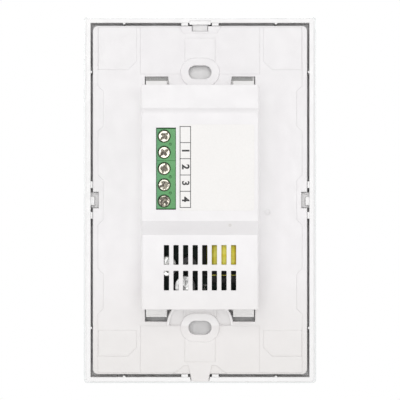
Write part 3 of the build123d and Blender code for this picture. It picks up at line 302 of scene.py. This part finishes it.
def panel_glass():
    """White glass: printed from behind, polished in front, ground along the rim."""
    s = Surface("glass_white")
    painted_y, front_y = -0.0086, -0.01144
    ring_radius, ring_half, dot_radius = 0.0085, 0.00036, 0.00098
    cloud = s.noise(0.03, 2)
    face = s.mix(s.step(cloud, 0.3, 0.7), tone(243, 245, 245), tone(247, 248, 248))
    back = s.step(s.y, painted_y - 0.00002, painted_y + 0.00005)
    print_speck = s.noise(0.0005, 3)
    paint = s.mix(s.step(print_speck, 0.35, 0.65), tone(252, 252, 252), tone(254, 254, 254))
    rim = s.both(s.step(s.facing(1), 0.9, 0.5), s.flip(back))
    base = s.mix(back, face, paint)
    base = s.tint(base, rim, 0.4, tone(244, 250, 249))
    front = s.step(s.y, front_y + 0.00002, front_y - 0.00002)
    for z in key_heights:
        away = s.radius(0.0, z)
        ring = s.band(away, ring_radius, ring_half, 0.00006)
        dot = s.step(away, dot_radius + 0.00007, dot_radius - 0.00006)
        base = s.tint(base, s.both(front, s.either(ring, dot)), 0.85, tone(150, 155, 160))
    s.shade(Base_Color=base, IOR=1.52, Metallic=s.math("MULTIPLY", rim, 0.5))
    ground = s.noise(0.00012, 2)
    s.shade(Roughness=s.blend(back, s.blend(rim, 0.05, 0.34), 0.42))
    s.shade(Coat_Weight=s.blend(back, 0.6, 0.0), Coat_Roughness=0.03)
    bumps = s.both(ground, s.either(rim, back))
    s.shade(Normal=s.relief(bumps, 0.15, 0.00002, s.bevel(0.00015)))
    return s


def foam_tape():
    s = Surface("foam_tape")
    cells = s.cells(0.0004)
    base = s.mix(s.step(cells, 0.1, 0.7), tone(206, 205, 200), tone(232, 231, 226))
    s.shade(Base_Color=base, Roughness=0.85, Sheen_Weight=0.15)
    s.shade(Normal=s.relief(cells, 0.5, 0.00008))
    return s


def board(name, colour, copper, gloss=0.5):
    """Printed circuit board: solder mask over tracks, and bare laminate at the edges."""
    s = Surface(name)
    upright = s.band(s.noise(0.0042, 0, 0.5, (1, 1, 0.34)), 0.5, 0.012, 0.004)
    level = s.band(s.noise(0.0036, 0, 0.5, (0.34, 1, 1)), 0.52, 0.012, 0.004)
    tracks = s.either(upright, level)
    pour = s.step(s.noise(0.011, 1), 0.52, 0.535)
    base = s.mix(pour, colour, darker(copper, 0.92))
    base = s.mix(tracks, base, copper)
    weave = s.noise(0.0005, 1, 0.5, (1, 1, 3))
    base = s.tint(base, weave, 0.18, darker(colour, 0.6))
    side = s.step(s.facing(1), 0.6, 0.3)
    base = s.mix(side, base, tone(176, 164, 118))
    s.shade(Base_Color=base, IOR=1.5, Specular_IOR_Level=gloss)
    s.shade(Roughness=s.blend(side, 0.34, 0.75))
    raised = s.either(s.math("MULTIPLY", tracks, 0.9), s.math("MULTIPLY", pour, 0.7))
    s.shade(Normal=s.relief(raised, 0.5, 0.00004, s.bevel(0.0001)))
    return s


def touch_board_finish():
    """Green board with two gilt ring electrodes round the indicator lights, each split in two."""
    s = board("touch_board", tone(22, 92, 52), tone(38, 124, 72))
    ring_radius, ring_half, half_gap = 0.0058, 0.0026, 0.0002
    upper, lower = (s.band(s.radius(0.0, z), ring_radius, ring_half, 0.00008) for z in key_heights)
    apart = s.flip(s.band(s.x, 0.0, half_gap, 0.00005))
    room_side = s.step(s.y, -0.00585, -0.00595)
    rings = s.both(s.both(s.either(upper, lower), apart), room_side)
    gilt = s.mix(s.noise(0.0008, 3), tone(176, 142, 74), tone(224, 190, 116))
    s.shade(Base_Color=s.mix(rings, s.colour(), gilt), Metallic=rings)
    return s


def module_finish():
    """Dark board with a folded gold track as its antenna."""
    s = board("radio_module", tone(18, 44, 84), tone(30, 66, 116))
    fold_pitch = 0.0011
    zone = s.both(s.band(s.z, 0.0033, 0.0023, 0.00005), s.band(s.x, 0.0, 0.0068, 0.00005))
    wave = s.math("PINGPONG", s.math("MULTIPLY", s.x, 1 / fold_pitch), 0.5)
    bars = s.step(wave, 0.27, 0.33)
    ends = s.either(*(s.band(s.z, z, 0.0002, 0.00003) for z in (0.0054, 0.0012)))
    folds = s.both(ends, s.step(s.noise(0.002, 0), 0.4, 0.45))
    track = s.both(zone, s.either(bars, folds))
    s.shade(Base_Color=s.mix(track, s.colour(), tone(214, 182, 104)), Metallic=track)
    return s


def clear_plastic():
    s = Surface("clear_guide")
    faint = s.noise(0.0012, 2)
    s.shade(Base_Color=s.mix(faint, tone(236, 242, 246), tone(248, 250, 252)))
    s.shade(Roughness=s.blend(faint, 0.06, 0.18), IOR=1.49, Transmission_Weight=0.9)
    s.shade(Normal=s.relief(faint, 0.1, 0.00003))
    return s


def led_finish():
    """Small light with a pale yellow lens and gilt ends."""
    s = Surface("led")
    ends = s.step(s.math("ABSOLUTE", s.x), 0.00054, 0.00056)
    lens = s.mix(s.noise(0.0003, 2), tone(232, 222, 150), tone(244, 238, 190))
    s.shade(Base_Color=s.mix(ends, lens, tone(214, 196, 150)), Metallic=ends)
    s.shade(Roughness=0.25, Subsurface_Weight=0.2, Subsurface_Scale=0.0004)
    s.shade(Normal=s.relief(s.noise(0.0001, 1), 0.15, 0.00001, s.bevel(0.00006)))
    return s


def chip_finish():
    """Black moulded chip with tinned legs and a dimple at its first leg."""
    s = moulded("chip_black", tone(40, 40, 42), 0.55, 0.00008, 0.3, 0.2, rounding=0.00008)
    chip_x, dimple = -0.0205, (-0.0216, 0.0142)
    legs = s.step(s.away(s.x, chip_x), 0.00196, 0.00199)
    dot = s.step(s.radius(*dimple), 0.00042, 0.00036)
    base = s.mix(dot, s.colour(), tone(88, 88, 90))
    s.shade(Base_Color=s.mix(legs, base, tin), Metallic=legs)
    return s


def header_finish():
    """Black strip with square gilt pins, which stand out of it on both sides."""
    s = moulded("header_black", tone(38, 38, 40), 0.5, 0.0001, 0.25, 0.2, rounding=0.0001)
    outside = s.either(s.step(s.y, 0.00372, 0.0037), s.step(s.y, 0.00842, 0.00845))
    gilt = s.mix(s.noise(0.0006, 2), tone(200, 162, 84), tone(232, 200, 122))
    s.shade(Base_Color=s.mix(outside, s.colour(), gilt), Metallic=outside)
    return s


def terminal_plastic():
    """Green blocks, cooler towards the wire side, with a painted shadow as a dark rim round each
    screw hole.
    """
    s = moulded("terminal_green", tone(94, 164, 100), 0.36, 0.0002, 0.22, variation=0.1)
    shadow_shift, shadow_rim_radius, shadow_rim_half = 0.00008, 0.00202, 0.00009
    cool_side = s.step(s.x, 0.0102, 0.0152)
    base = s.tint(s.colour(), cool_side, 0.55, tone(82, 150, 116))
    face = s.step(s.y, 0.0245, 0.0255)
    # painted shadow: a dark rim round each screw hole, shifted to one side
    for z in screw_heights:
        away = s.radius(screw_x + shadow_shift, z + shadow_shift)
        rim = s.band(away, shadow_rim_radius, shadow_rim_half, 0.00009)
        base = s.tint(base, s.both(rim, face), 0.6, tone(34, 60, 40))
    s.shade(Base_Color=base, Specular_IOR_Level=0.35)
    s.shade(Subsurface_Weight=0.12, Subsurface_Radius=(0.3, 0.9, 0.4), Subsurface_Scale=0.0007)
    return s


def terminal_screw_finish(z, reach):
    """Plated head with a turned face, painted shade down in the cross recess, and a dark dull patch
    round its middle.
    """
    s = metal("terminal_screw", tone(210, 206, 192), rough=0.4, streak=(1, 1, 1), variation=0.1)
    away = s.radius(screw_x, z)
    # painted shade: the cross recess is dark and dull
    recess = s.step(s.y, 0.02556, 0.0254)
    wobble = s.math("SUBTRACT", s.noise(0.0007, 3, 0.7), 0.5)
    wobbling = s.math("ADD", away, s.math("MULTIPLY", wobble, 0.0026))
    dark_patch = s.step(wobbling, reach + 0.0003, reach - 0.0001)
    speck = s.noise(0.0006, 2, 0.6)
    bright = s.step(speck, 0.56, 0.62)
    dark = s.either(recess, s.both(dark_patch, s.flip(s.math("MULTIPLY", bright, 0.8))))
    shade_and_patch_tone = s.mix(s.step(speck, 0.4, 0.6), tone(84, 76, 66), tone(198, 189, 172))
    s.shade(Base_Color=s.mix(dark, s.colour(), shade_and_patch_tone))
    s.shade(Metallic=s.flip(dark), Specular_IOR_Level=0.3)
    turned = s.relief(s.rings(away, 0.00016), 0.12, 0.00001, s.bevel(0.00015))
    s.shade(Normal=s.relief(s.noise(0.00025, 2), 0.12, 0.00002, turned))
    return s


def relay_finish():
    s = moulded("relay_case", tone(34, 44, 66), 0.34, 0.00014, 0.2, variation=0.16)
    return with_metal_below(s, leads_start)


def ferrite_finish():
    """Dull black core with a few sparks of grit."""
    s = Surface("ferrite")
    grit = s.noise(0.0002, 3, 0.7)
    base = s.mix(grit, tone(26, 26, 25), tone(46, 46, 44))
    sparks = s.step(s.noise(0.00034, 1), 0.7, 0.76)
    base = s.tint(base, sparks, 0.5, tone(150, 150, 144))
    s.shade(Base_Color=base, Roughness=s.blend(grit, 0.5, 0.72), Specular_IOR_Level=0.15)
    s.shade(Normal=s.relief(grit, 0.4, 0.00003, s.bevel(0.0003)))
    return s


def tape_finish():
    """Yellow polyester tape: wound layers, wrinkles and orange where more layers overlap."""
    s = Surface("coil_tape")
    wrinkle = s.noise(0.0022, 3, 0.6, (0.5, 1, 1.6))
    layer = s.noise(0.0009, 1, 0.5, (0.1, 1, 3))
    base = s.mix(s.step(wrinkle, 0.3, 0.7), tone(244, 228, 52), tone(254, 247, 116))
    # painted shade: towards one side, where the coil curves away, the film is darker olive; at the
    # other it overlaps itself in amber
    painted_shade_side = s.both(s.step(s.x, -0.0068, -0.0026), s.step(s.z, -0.0228, -0.0225))
    base = s.tint(base, painted_shade_side, 0.55, tone(176, 168, 28))
    amber = s.band(s.x, -0.0112, 0.00018, 0.00025)
    base = s.tint(base, amber, 0.5, tone(244, 176, 60))
    streak = s.band(s.x, -0.0071, 0.00012, 0.0002)
    layers = s.either(streak, s.math("MULTIPLY", layer, 0.2))
    base = s.tint(base, layers, 0.5, tone(176, 150, 30))
    # painted shade: the strip round the core is dark where it nears the choke
    painted_shade_strip = s.both(s.step(s.x, -0.0031, -0.0027), s.step(s.z, -0.0231, -0.0236))
    base = s.mix(painted_shade_strip, base, tone(24, 24, 20))
    s.shade(Base_Color=base, Roughness=s.blend(wrinkle, 0.3, 0.45), Specular_IOR_Level=0.25)
    s.shade(Subsurface_Weight=0.1, Subsurface_Scale=0.0005)
    s.shade(Normal=s.relief(s.blend(0.35, wrinkle, layer), 0.3, 0.0002))
    return s


def black_former():
    s = moulded("bobbin_black", tone(26, 26, 26), 0.4, 0.00014, 0.2, variation=0.2)
    s.shade(Specular_IOR_Level=0.2)
    return with_metal_below(s, 0.01058)


def can_finish(name, sleeve, stripe):
    """Electrolytic can: bare top, shrunk sleeve with a plain stripe, tinned leads."""
    s = Surface(name)
    x, z = middle_of(name).xz
    top_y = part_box(name)[1].y
    across = s.math("SUBTRACT", s.x, x)
    turn = s.math("ARCTAN2", s.math("SUBTRACT", s.z, z), across)
    stripe_turn, stripe_half = 1.2, 0.42
    film = s.mix(s.band(turn, stripe_turn, stripe_half, 0.02), sleeve, stripe)
    # painted reflection: the bare top is dented, and mirrors dark surroundings towards one side and
    # grey towards the other
    dents = s.noise(0.0012, 3, 0.65, (1, 1, 0.6))
    bare = s.mix(s.step(dents, 0.38, 0.62), tone(110, 110, 110), tone(200, 200, 199))
    dark_reflection_side, grey_reflection_side = s.step(across, -0.0014, -0.0021), s.step(across, 0.0012, 0.0024)
    bare = s.tint(bare, dark_reflection_side, 0.9, tone(32, 33, 33))
    bare = s.tint(bare, grey_reflection_side, 0.45, tone(118, 118, 118))
    wrap = s.step(s.y, top_y - 0.00028, top_y - 0.00034)
    lead = s.step(s.y, 0.01038, 0.0103)
    base = s.mix(wrap, bare, film)
    s.shade(Base_Color=s.mix(lead, base, tin))
    s.shade(Metallic=s.either(s.flip(wrap), lead), Roughness=s.blend(wrap, 0.34, 0.3))
    ridges = s.both(s.rings(s.radius(x, z), 0.0003), s.flip(wrap))
    s.shade(Normal=s.relief(ridges, 0.1, 0.00001, s.bevel(0.0002)))
    return s


def mottled_can():
    """The pale can whose top carries dried adhesive."""
    s = can_finish("input_capacitor", tone(48, 50, 54), tone(120, 120, 120))
    blobs = s.step(s.noise(0.0016, 3, 0.65), 0.42, 0.58)
    top = s.both(s.step(s.y, 0.0190, 0.0192), blobs)
    glue = s.mix(s.noise(0.0005, 2), tone(158, 158, 154), tone(212, 212, 208))
    s.shade(Base_Color=s.mix(top, s.colour(), glue))
    s.shade(Metallic=s.math("SUBTRACT", s.step(s.y, 0.01916, 0.01922), top))
    return s


def choke_finish():
    """Creased black sleeve with a greyer end."""
    s = Surface("choke_sleeve")
    crease = s.noise(0.0014, 2, 0.5, (1, 0.3, 1))
    base = s.mix(crease, tone(28, 28, 30), tone(58, 58, 60))
    top = s.step(s.y, 0.01712, 0.01718)
    base = s.mix(top, base, s.mix(s.noise(0.0005, 2), tone(76, 76, 78), tone(108, 108, 110)))
    s.shade(Base_Color=base, Roughness=s.blend(top, 0.38, 0.6), Specular_IOR_Level=0.2)
    s.shade(Normal=s.relief(crease, 0.3, 0.00008, s.bevel(0.0002)))
    return with_metal_below(s, leads_start)


def film_cap_finish():
    s = moulded("film_cap", tone(214, 160, 52), 0.3, 0.0003, 0.12, variation=0.12)
    return with_metal_below(s, leads_start)


def varistor_finish():
    """Dipped lacquer with a runny skirt and a pitted gloss."""
    s = Surface("varistor_blue")
    skin = s.noise(0.0009, 3)
    base = s.mix(skin, tone(30, 74, 140), tone(54, 112, 178))
    s.shade(Base_Color=base, Roughness=s.blend(skin, 0.2, 0.4), Coat_Weight=0.3)
    s.shade(Normal=s.relief(skin, 0.3, 0.00012, s.bevel(0.0003)))
    return with_metal_below(s, 0.0108)


def resistor_finish():
    """Coated ceramic with painted bands and tinned wires."""
    s = Surface("resistor_body")
    skin = s.noise(0.0005, 2)
    base = s.mix(skin, tone(128, 150, 158), tone(160, 180, 186))
    band_half, body_half = 0.00032, 0.00435
    for offset, colour in (
        (-0.0022, tone(146, 84, 40)),
        (-0.0009, tone(30, 30, 30)),
        (0.0004, tone(30, 30, 30)),
        (0.0022, tone(198, 164, 72)),
    ):
        ring = s.band(s.x, resistor_x + offset, band_half, 0.00004)
        base = s.mix(ring, base, colour)
    wire = s.step(s.away(s.x, resistor_x), body_half - 0.00003, body_half + 0.00003)
    s.shade(Base_Color=s.mix(wire, base, tin), Metallic=wire, Roughness=0.35)
    s.shade(Normal=s.relief(skin, 0.2, 0.00004, s.bevel(0.0002)))
    return s


def rectifier_finish():
    s = moulded("rectifier_black", tone(38, 38, 40), 0.5, 0.0001, 0.3, variation=0.2)
    return with_metal_below(s, leads_start)


def label_finish():
    """Coated label stock with a soft sheen and a cut edge."""
    s = Surface("label_paper")
    fibre = s.noise(0.0006, 4, 0.65)
    wave = s.noise(0.009, 2)
    base = s.mix(s.step(fibre, 0.3, 0.7), tone(240, 238, 236), tone(243, 241, 239))
    s.shade(Base_Color=base, Roughness=s.blend(wave, 0.36, 0.46), Sheen_Weight=0.05)
    s.shade(Normal=s.relief(s.blend(0.6, fibre, wave), 0.03, 0.00003, s.bevel(0.00006)))
    return s


def ink(name, colour):
    """Thermal print: dense, with pin-sized voids."""
    s = Surface(name)
    voids = s.noise(0.00012, 2)
    s.shade(Base_Color=s.mix(s.step(voids, 0.25, 0.45), tone(70, 70, 70), colour), Roughness=0.5)
    s.shade(Normal=s.relief(voids, 0.1, 0.00001))
    return s


def solder_finish():
    s = metal("solder", tone(226, 225, 222), 0.3, streak=(1, 1, 1), variation=0.1, grain=0.0005)
    s.shade(Metallic=0.5)
    return s


# painted shadow: grey strips that stand for the shade over the upper hooks
def strip_foam_finish():
    s = Surface("shadow_strip")
    strip_speckle = s.cells(0.0003)
    s.shade(Base_Color=s.mix(strip_speckle, tone(172, 172, 171), tone(198, 198, 197)), Roughness=0.9)
    s.shade(Normal=s.relief(strip_speckle, 0.4, 0.00005), Specular_IOR_Level=0.2)
    return s


screw_steel = {"colour": tone(214, 214, 212), "rough": 0.24, "streak": (1, 1, 1)}
finishes = {
    "glass_panel": panel_glass(),
    "panel_adhesive": foam_tape(),
    "front_frame": frame_plastic(),
    "rear_housing": housing_plastic(),
    "inner_chassis": moulded("chassis_white", tone(244, 243, 242), 0.48, 0.0002, 0.25, 0.03),
    "touch_board": touch_board_finish(),
    "touch_springs": metal("spring_steel", tone(206, 204, 198), rough=0.22),
    "light_guides": clear_plastic(),
    "indicator_leds": led_finish(),
    "touch_controller": chip_finish(),
    "radio_module": module_finish(),
    "radio_shield": metal("shield_metal", tone(206, 206, 204), rough=0.3, streak=(14, 1, 1)),
    "board_socket": moulded("socket_black", tone(36, 36, 38), 0.5, 0.0001, 0.25, 0.2, 0.0001),
    "pin_header": header_finish(),
    "touch_board_screws": metal("screw_steel", **screw_steel),
    "power_board": board("power_board", tone(11, 32, 26), tone(18, 46, 38), gloss=0.1),
    "power_board_screws": metal("board_screw_steel", **screw_steel),
    "terminal_block_two_way": terminal_plastic(),
    "terminal_contacts": metal("contact_brass", tone(216, 196, 138), rough=0.25, streak=(8, 1, 1)),
    "relay_upper": relay_finish(),
    "transformer_core": ferrite_finish(),
    "transformer_coil": tape_finish(),
    "transformer_bobbin": black_former(),
    "output_capacitor": can_finish("output_capacitor", tone(26, 28, 34), tone(120, 122, 128)),
    "input_capacitor": mottled_can(),
    "filter_inductor": choke_finish(),
    "noise_capacitor": film_cap_finish(),
    "varistor": varistor_finish(),
    "fusible_resistor": resistor_finish(),
    "bridge_rectifier": rectifier_finish(),
    "rating_label": label_finish(),
}
finishes["terminal_block_three_way"] = finishes["terminal_block_two_way"]
finishes["relay_lower"] = finishes["relay_upper"]
clamp_metal = metal("clamp_steel", tone(200, 199, 194), rough=0.3, streak=(1, 8, 1))
for number, height, reach in zip(range(1, 6), screw_heights, dark_patch_reach):
    finishes[f"terminal_screw_{number}"] = terminal_screw_finish(height, reach)
    finishes[f"wire_clamp_{number}"] = clamp_metal
for name, surface in finishes.items():
    mesh = nodes[name].data
    mesh.materials.clear()
    mesh.materials.append(surface.material)


def piece(name, mesh, materials, body="rear_body"):
    """A modelled piece of the scene that rides on a CAD body."""
    made = bpy.data.objects.new(name, mesh)
    bpy.context.scene.collection.objects.link(made)
    for surface in materials:
        mesh.materials.append(surface.material)
    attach(made, body)


def add_bar(bm, centre, size, material=0, soften=0.0):
    """A bar in a mesh, its edges softened a little."""
    corner = bmesh.ops.create_cube(bm, size=1.0)["verts"]
    bmesh.ops.scale(bm, vec=size, verts=corner)
    bmesh.ops.translate(bm, vec=centre, verts=corner)
    faces = {f for v in corner for f in v.link_faces}
    for face in faces:
        face.material_index = material
    if soften:
        edges = list({e for v in corner for e in v.link_edges})
        bmesh.ops.bevel(
            bm, geom=edges, offset=soften, segments=2, affect="EDGES", profile=0.6
        )


def to_mesh(bm, name):
    mesh = bpy.data.meshes.new(name)
    bm.to_mesh(mesh)
    bm.free()
    return mesh


# Label: the ruled cells beside the screws, and plain numbers in four of them
label_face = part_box("rating_label")[1].y
cell_left = 0.00622
cell_right = 0.00294
cell_middle = (cell_left + cell_right) / 2
cell_lines = (0.02296, 0.01793, 0.0129, 0.00781, 0.00272, -0.00234)
line_width = 0.00023
film = 0.00001
number_size = 0.0031
# the strokes are swollen a little, and the 3 less, whose outline breaks when it is swollen as far
stroke_swell = {3: 0.00008}
usual_swell = 0.00012

grey_ink = ink("ruling_ink", tone(62, 62, 64))
black_ink = ink("number_ink", tone(12, 12, 13))

bm = bmesh.new()
for z in cell_lines:
    centre = (cell_middle, label_face + film / 2, z)
    add_bar(bm, centre, (cell_left - cell_right + line_width, film, line_width))
for x in (cell_left, cell_right):
    centre = (x, label_face + film / 2, (cell_lines[0] + cell_lines[-1]) / 2)
    add_bar(bm, centre, (line_width, film, cell_lines[0] - cell_lines[-1]))
piece("label_ruling", to_mesh(bm, "label_ruling"), [grey_ink])

# each number is read from behind, with its head turned to the right
facing = Matrix.Rotation(math.pi, 4, "Z") @ Matrix.Rotation(math.pi / 2, 4, "X")
turned = Matrix.Rotation(math.radians(-90), 4, "Y")
for number in range(1, 5):
    curve = bpy.data.curves.new(f"cell_number_{number}", "FONT")
    curve.body = str(number)
    curve.size = number_size
    curve.offset = stroke_swell.get(number, usual_swell)
    curve.extrude = film
    curve.align_x = "CENTER"
    curve.align_y = "CENTER"
    curve.materials.append(black_ink.material)
    text = bpy.data.objects.new(f"cell_number_{number}", curve)
    bpy.context.scene.collection.objects.link(text)
    height = (cell_lines[number] + cell_lines[number + 1]) / 2
    place = Vector((cell_middle, label_face + film, height))
    text.matrix_world = Matrix.Translation(place) @ turned @ facing
    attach(text, "rear_body")

# Grey strips over the two upper hooks, on the lip of the inner chassis: a painted shadow over the
# hooks
lip_back = -0.0026
strip_thickness = 0.00015
strip_length = 0.007
strip_height = 0.0011
strip_z = 0.03958
strip_rounding = 0.00004
bm = bmesh.new()
for x in (0.01405, -0.0137):
    centre = (x, lip_back + strip_thickness / 2, strip_z)
    add_bar(bm, centre, (strip_length, strip_thickness, strip_height), 0, strip_rounding)
piece("hook_shadow_strips", to_mesh(bm, "hook_shadow_strips"), [strip_foam_finish()])

# Small parts on the boards
chip_body = moulded("small_chip_body", tone(52, 52, 54), 0.5, 0.00008, 0.2, 0.2, 0.00005)
chip_tan = moulded("small_chip_tan", tone(168, 140, 106), 0.45, 0.00008, 0.2, 0.15, 0.00005)
solder = solder_finish()
# length, width and height of the two kinds: a resistor and a larger, tan capacitor
chip_sizes = {1: (0.0016, 0.0008, 0.00045), 2: (0.002, 0.00125, 0.0008)}
# shares of these that the body, the end caps and the pads take, and where along the part they lie
body_length, cap_length, pad_length = 0.68, 0.17, 0.3
cap_height, cap_width, pad_width = 1.04, 1.03, 1.25
cap_place, pad_place = 0.42, 0.55
body_rounding, cap_rounding = 0.00004, 0.00005
pad_thickness = 0.00006
solder_index = 2


def laid(upright, along, high, across):
    """Three measures in the order X, Y, Z, for a part that lies along X or stands along Z."""
    return (across, high, along) if upright else (along, high, across)


def small_parts(name, places, face_y, side):
    """Chip resistors and capacitors, end caps and fillets of solder on one face of a board."""
    bm = bmesh.new()
    for x, z, upright, kind in places:
        length, width, height = chip_sizes[kind]
        body = laid(upright, length * body_length, height, width)
        cap = laid(upright, length * cap_length, height * cap_height, width * cap_width)
        pad = laid(upright, length * pad_length, pad_thickness, width * pad_width)
        y = face_y + side * height / 2
        pad_y = face_y + side * pad_thickness / 2
        add_bar(bm, (x, y, z), body, kind - 1, body_rounding)
        for end in (-1, 1):
            dx, _, dz = laid(upright, end * length * cap_place, 0, 0)
            add_bar(bm, (x + dx, y, z + dz), cap, solder_index, cap_rounding)
            dx, _, dz = laid(upright, end * length * pad_place, 0, 0)
            add_bar(bm, (x + dx, pad_y, z + dz), pad, solder_index)
    piece(name, to_mesh(bm, name), [chip_body, chip_tan, solder])


def solder_joints(name, places, face_y, side, radius, height):
    """Cones of solder round the ends of leads."""
    bm = bmesh.new()
    # shares of the radius and of the height, from the foot to the tip
    profile = [(1.0, 0.0), (0.86, 0.12), (0.6, 0.3), (0.42, 0.6), (0.34, 0.9), (0.2, 1.0)]
    steps = 14
    for x, z in places:
        rings = []
        for share, rise in profile:
            reach = share * radius
            y = face_y + side * rise * height
            turns = [2 * math.pi * i / steps for i in range(steps)]
            rings.append(
                [bm.verts.new((x + reach * math.cos(a), y, z + reach * math.sin(a))) for a in turns]
            )
        for lower, upper in zip(rings, rings[1:]):
            for i in range(steps):
                j = (i + 1) % steps
                bm.faces.new((lower[i], lower[j], upper[j], upper[i]))
        bm.faces.new(rings[-1])
    bmesh.ops.recalc_face_normals(bm, faces=bm.faces)
    for face in bm.faces:
        face.smooth = True
    piece(name, to_mesh(bm, name), [solder])


# Places on the boards as x and z in millimetres, whether the part is upright, and its kind
MM = 0.001
room_side = [
    (-6.2, 2.6, 0, 1), (-6.2, 5.0, 0, 1), (6.2, 2.6, 0, 1), (6.2, 5.0, 0, 1),
    (0, 8.2, 0, 1), (0, -8.2, 0, 1), (-12.5, -6, 1, 2), (12.5, -6, 1, 2),
    (-19.5, 0, 1, 1), (-16.8, 0, 1, 1), (19.5, 0, 1, 1), (16.8, 0, 1, 1),
    (-14, 24, 0, 1), (14, 24, 0, 1), (-14, -24, 0, 1), (14, -24, 0, 1),
]
wall_side = [
    (-26.2, 8, 1, 1), (-26.2, 11.4, 1, 1), (-14.8, 7, 1, 1), (-14.8, 12, 1, 1),
    (-20.5, 18, 0, 2), (-20.5, 2.2, 0, 1), (11, -4, 1, 2), (11, -8.4, 1, 1),
    (11, -12, 1, 1), (-11, -4, 1, 1), (-11, -9, 1, 1), (-12, 27, 0, 1),
    (12, 27, 0, 2), (20, 12, 1, 2), (20, 6, 1, 1), (20, 1.5, 1, 1),
]
in_the_box = [
    (1.5, 12.8, 0, 1), (-2.2, 12.8, 0, 1), (1.5, 3.2, 0, 2), (-2.4, 3.2, 0, 1),
    (-9.5, -29.6, 0, 1), (-13, -29.6, 0, 2),
]
board_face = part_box("power_board")[1].y
touch_low, touch_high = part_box("touch_board")
for name, places, face_y, side in (
    ("touch_parts_room", room_side, touch_low.y, -1),
    ("touch_parts_wall", wall_side, touch_high.y, 1),
    ("power_parts", in_the_box, board_face, 1),
):
    places = [(x * MM, z * MM, upright, kind) for x, z, upright, kind in places]
    small_parts(name, places, face_y, side)

# Dots of solder that show in a lower vent: name, places, radius and height in millimetres
for name, dots, radius, height in (
    ("power_joints", [(-1.5, -27.3), (-1.4, -28.6)], 0.46, 0.3),
    ("power_joint_small", [(-2.2, -27.3)], 0.3, 0.2),
):
    dots = [(x * MM, z * MM) for x, z in dots]
    solder_joints(name, dots, board_face, 1, radius * MM, height * MM)

# Floor, well below the part so that it can be seen from below too
floor_radius = 0.6
floor_z = -0.3
floor_glow = 0.6
bm = bmesh.new()
bmesh.ops.create_circle(bm, cap_ends=True, segments=96, radius=floor_radius)
floor = bpy.data.objects.new("floor", to_mesh(bm, "floor"))
floor.location = (0, 0, floor_z)
bpy.context.scene.collection.objects.link(floor)
pale = Surface("floor_pale")
pale.shade(Base_Color=pale.mix(pale.noise(0.2, 2), tone(240, 240, 240), tone(246, 246, 246)))
pale.shade(Roughness=0.9)
path = pale.node("ShaderNodeLightPath")
seen = pale.either(path.outputs["Is Camera Ray"], path.outputs["Is Glossy Ray"])
seen = pale.either(seen, path.outputs["Is Transmission Ray"])
glow = pale.node("ShaderNodeEmission")
mixer = pale.node("ShaderNodeMixShader")
pale.put(mixer.inputs[0], pale.math("MULTIPLY", seen, floor_glow))
pale.put(mixer.inputs[1], pale.shader.outputs[0])
pale.put(mixer.inputs[2], glow.outputs[0])
pale.put(pale.output.inputs[0], mixer.outputs[0])
floor.data.materials.append(pale.material)

# World: white where it is seen, plain grey as a light
world_light = 0.62
world = bpy.data.worlds.new("studio")
bpy.context.scene.world = world
world.use_nodes = True
tree = world.node_tree
path = tree.nodes.new("ShaderNodeLightPath")
seen = path.outputs["Is Camera Ray"]
for ray in ("Is Glossy Ray", "Is Transmission Ray"):
    greater = tree.nodes.new("ShaderNodeMath")
    greater.operation = "MAXIMUM"
    tree.links.new(seen, greater.inputs[0])
    tree.links.new(path.outputs[ray], greater.inputs[1])
    seen = greater.outputs[0]
level = tree.nodes.new("ShaderNodeMapRange")
tree.links.new(seen, level.inputs["Value"])
level.inputs["To Min"].default_value = world_light
level.inputs["To Max"].default_value = 1.0
background = tree.nodes["Background"]
tree.links.new(level.outputs[0], background.inputs["Strength"])
background.inputs["Color"].default_value = (1, 1, 1, 1)

# Lamps, all turned to the part: name, place, width in metres and power in watts
for name, where, width, power in (
    ("key", (0.03, 0.94, 0.13), 0.55, 2.8),
    ("front_key", (-0.3, -0.95, 0.4), 0.9, 3.6),
    ("left_fill", (1.0, -0.32, 0.15), 0.5, 1.1),
    ("right_fill", (-1.0, -0.32, 0.15), 0.5, 0.8),
    ("top_fill", (0.0, -0.32, 1.0), 0.5, 1.3),
    ("low_fill", (0.0, -0.32, -1.0), 0.5, 0.2),
):
    lamp = bpy.data.lights.new(name, "AREA")
    lamp.shape = "DISK"
    lamp.size = width
    lamp.energy = power
    made = bpy.data.objects.new(name, lamp)
    made.location = where
    made.rotation_euler = Vector(where).to_track_quat("Z", "Y").to_euler()
    made.visible_camera = False
    bpy.context.scene.collection.objects.link(made)

# Camera, straight behind the part as in the photograph
camera_distance = 0.65
picture_width = 0.1304
sensor_width = 36
lens = bpy.data.cameras.new("camera")
lens.sensor_width = sensor_width
lens.lens = sensor_width * camera_distance / picture_width
lens.clip_start = 0.01
lens.clip_end = 10
camera = bpy.data.objects.new("camera", lens)
camera.location = (0, camera_distance, 0)
camera.rotation_euler = (math.pi / 2, 0, math.pi)
bpy.context.scene.collection.objects.link(camera)
bpy.context.scene.camera = camera
bpy.context.scene.view_settings.view_transform = "Standard"
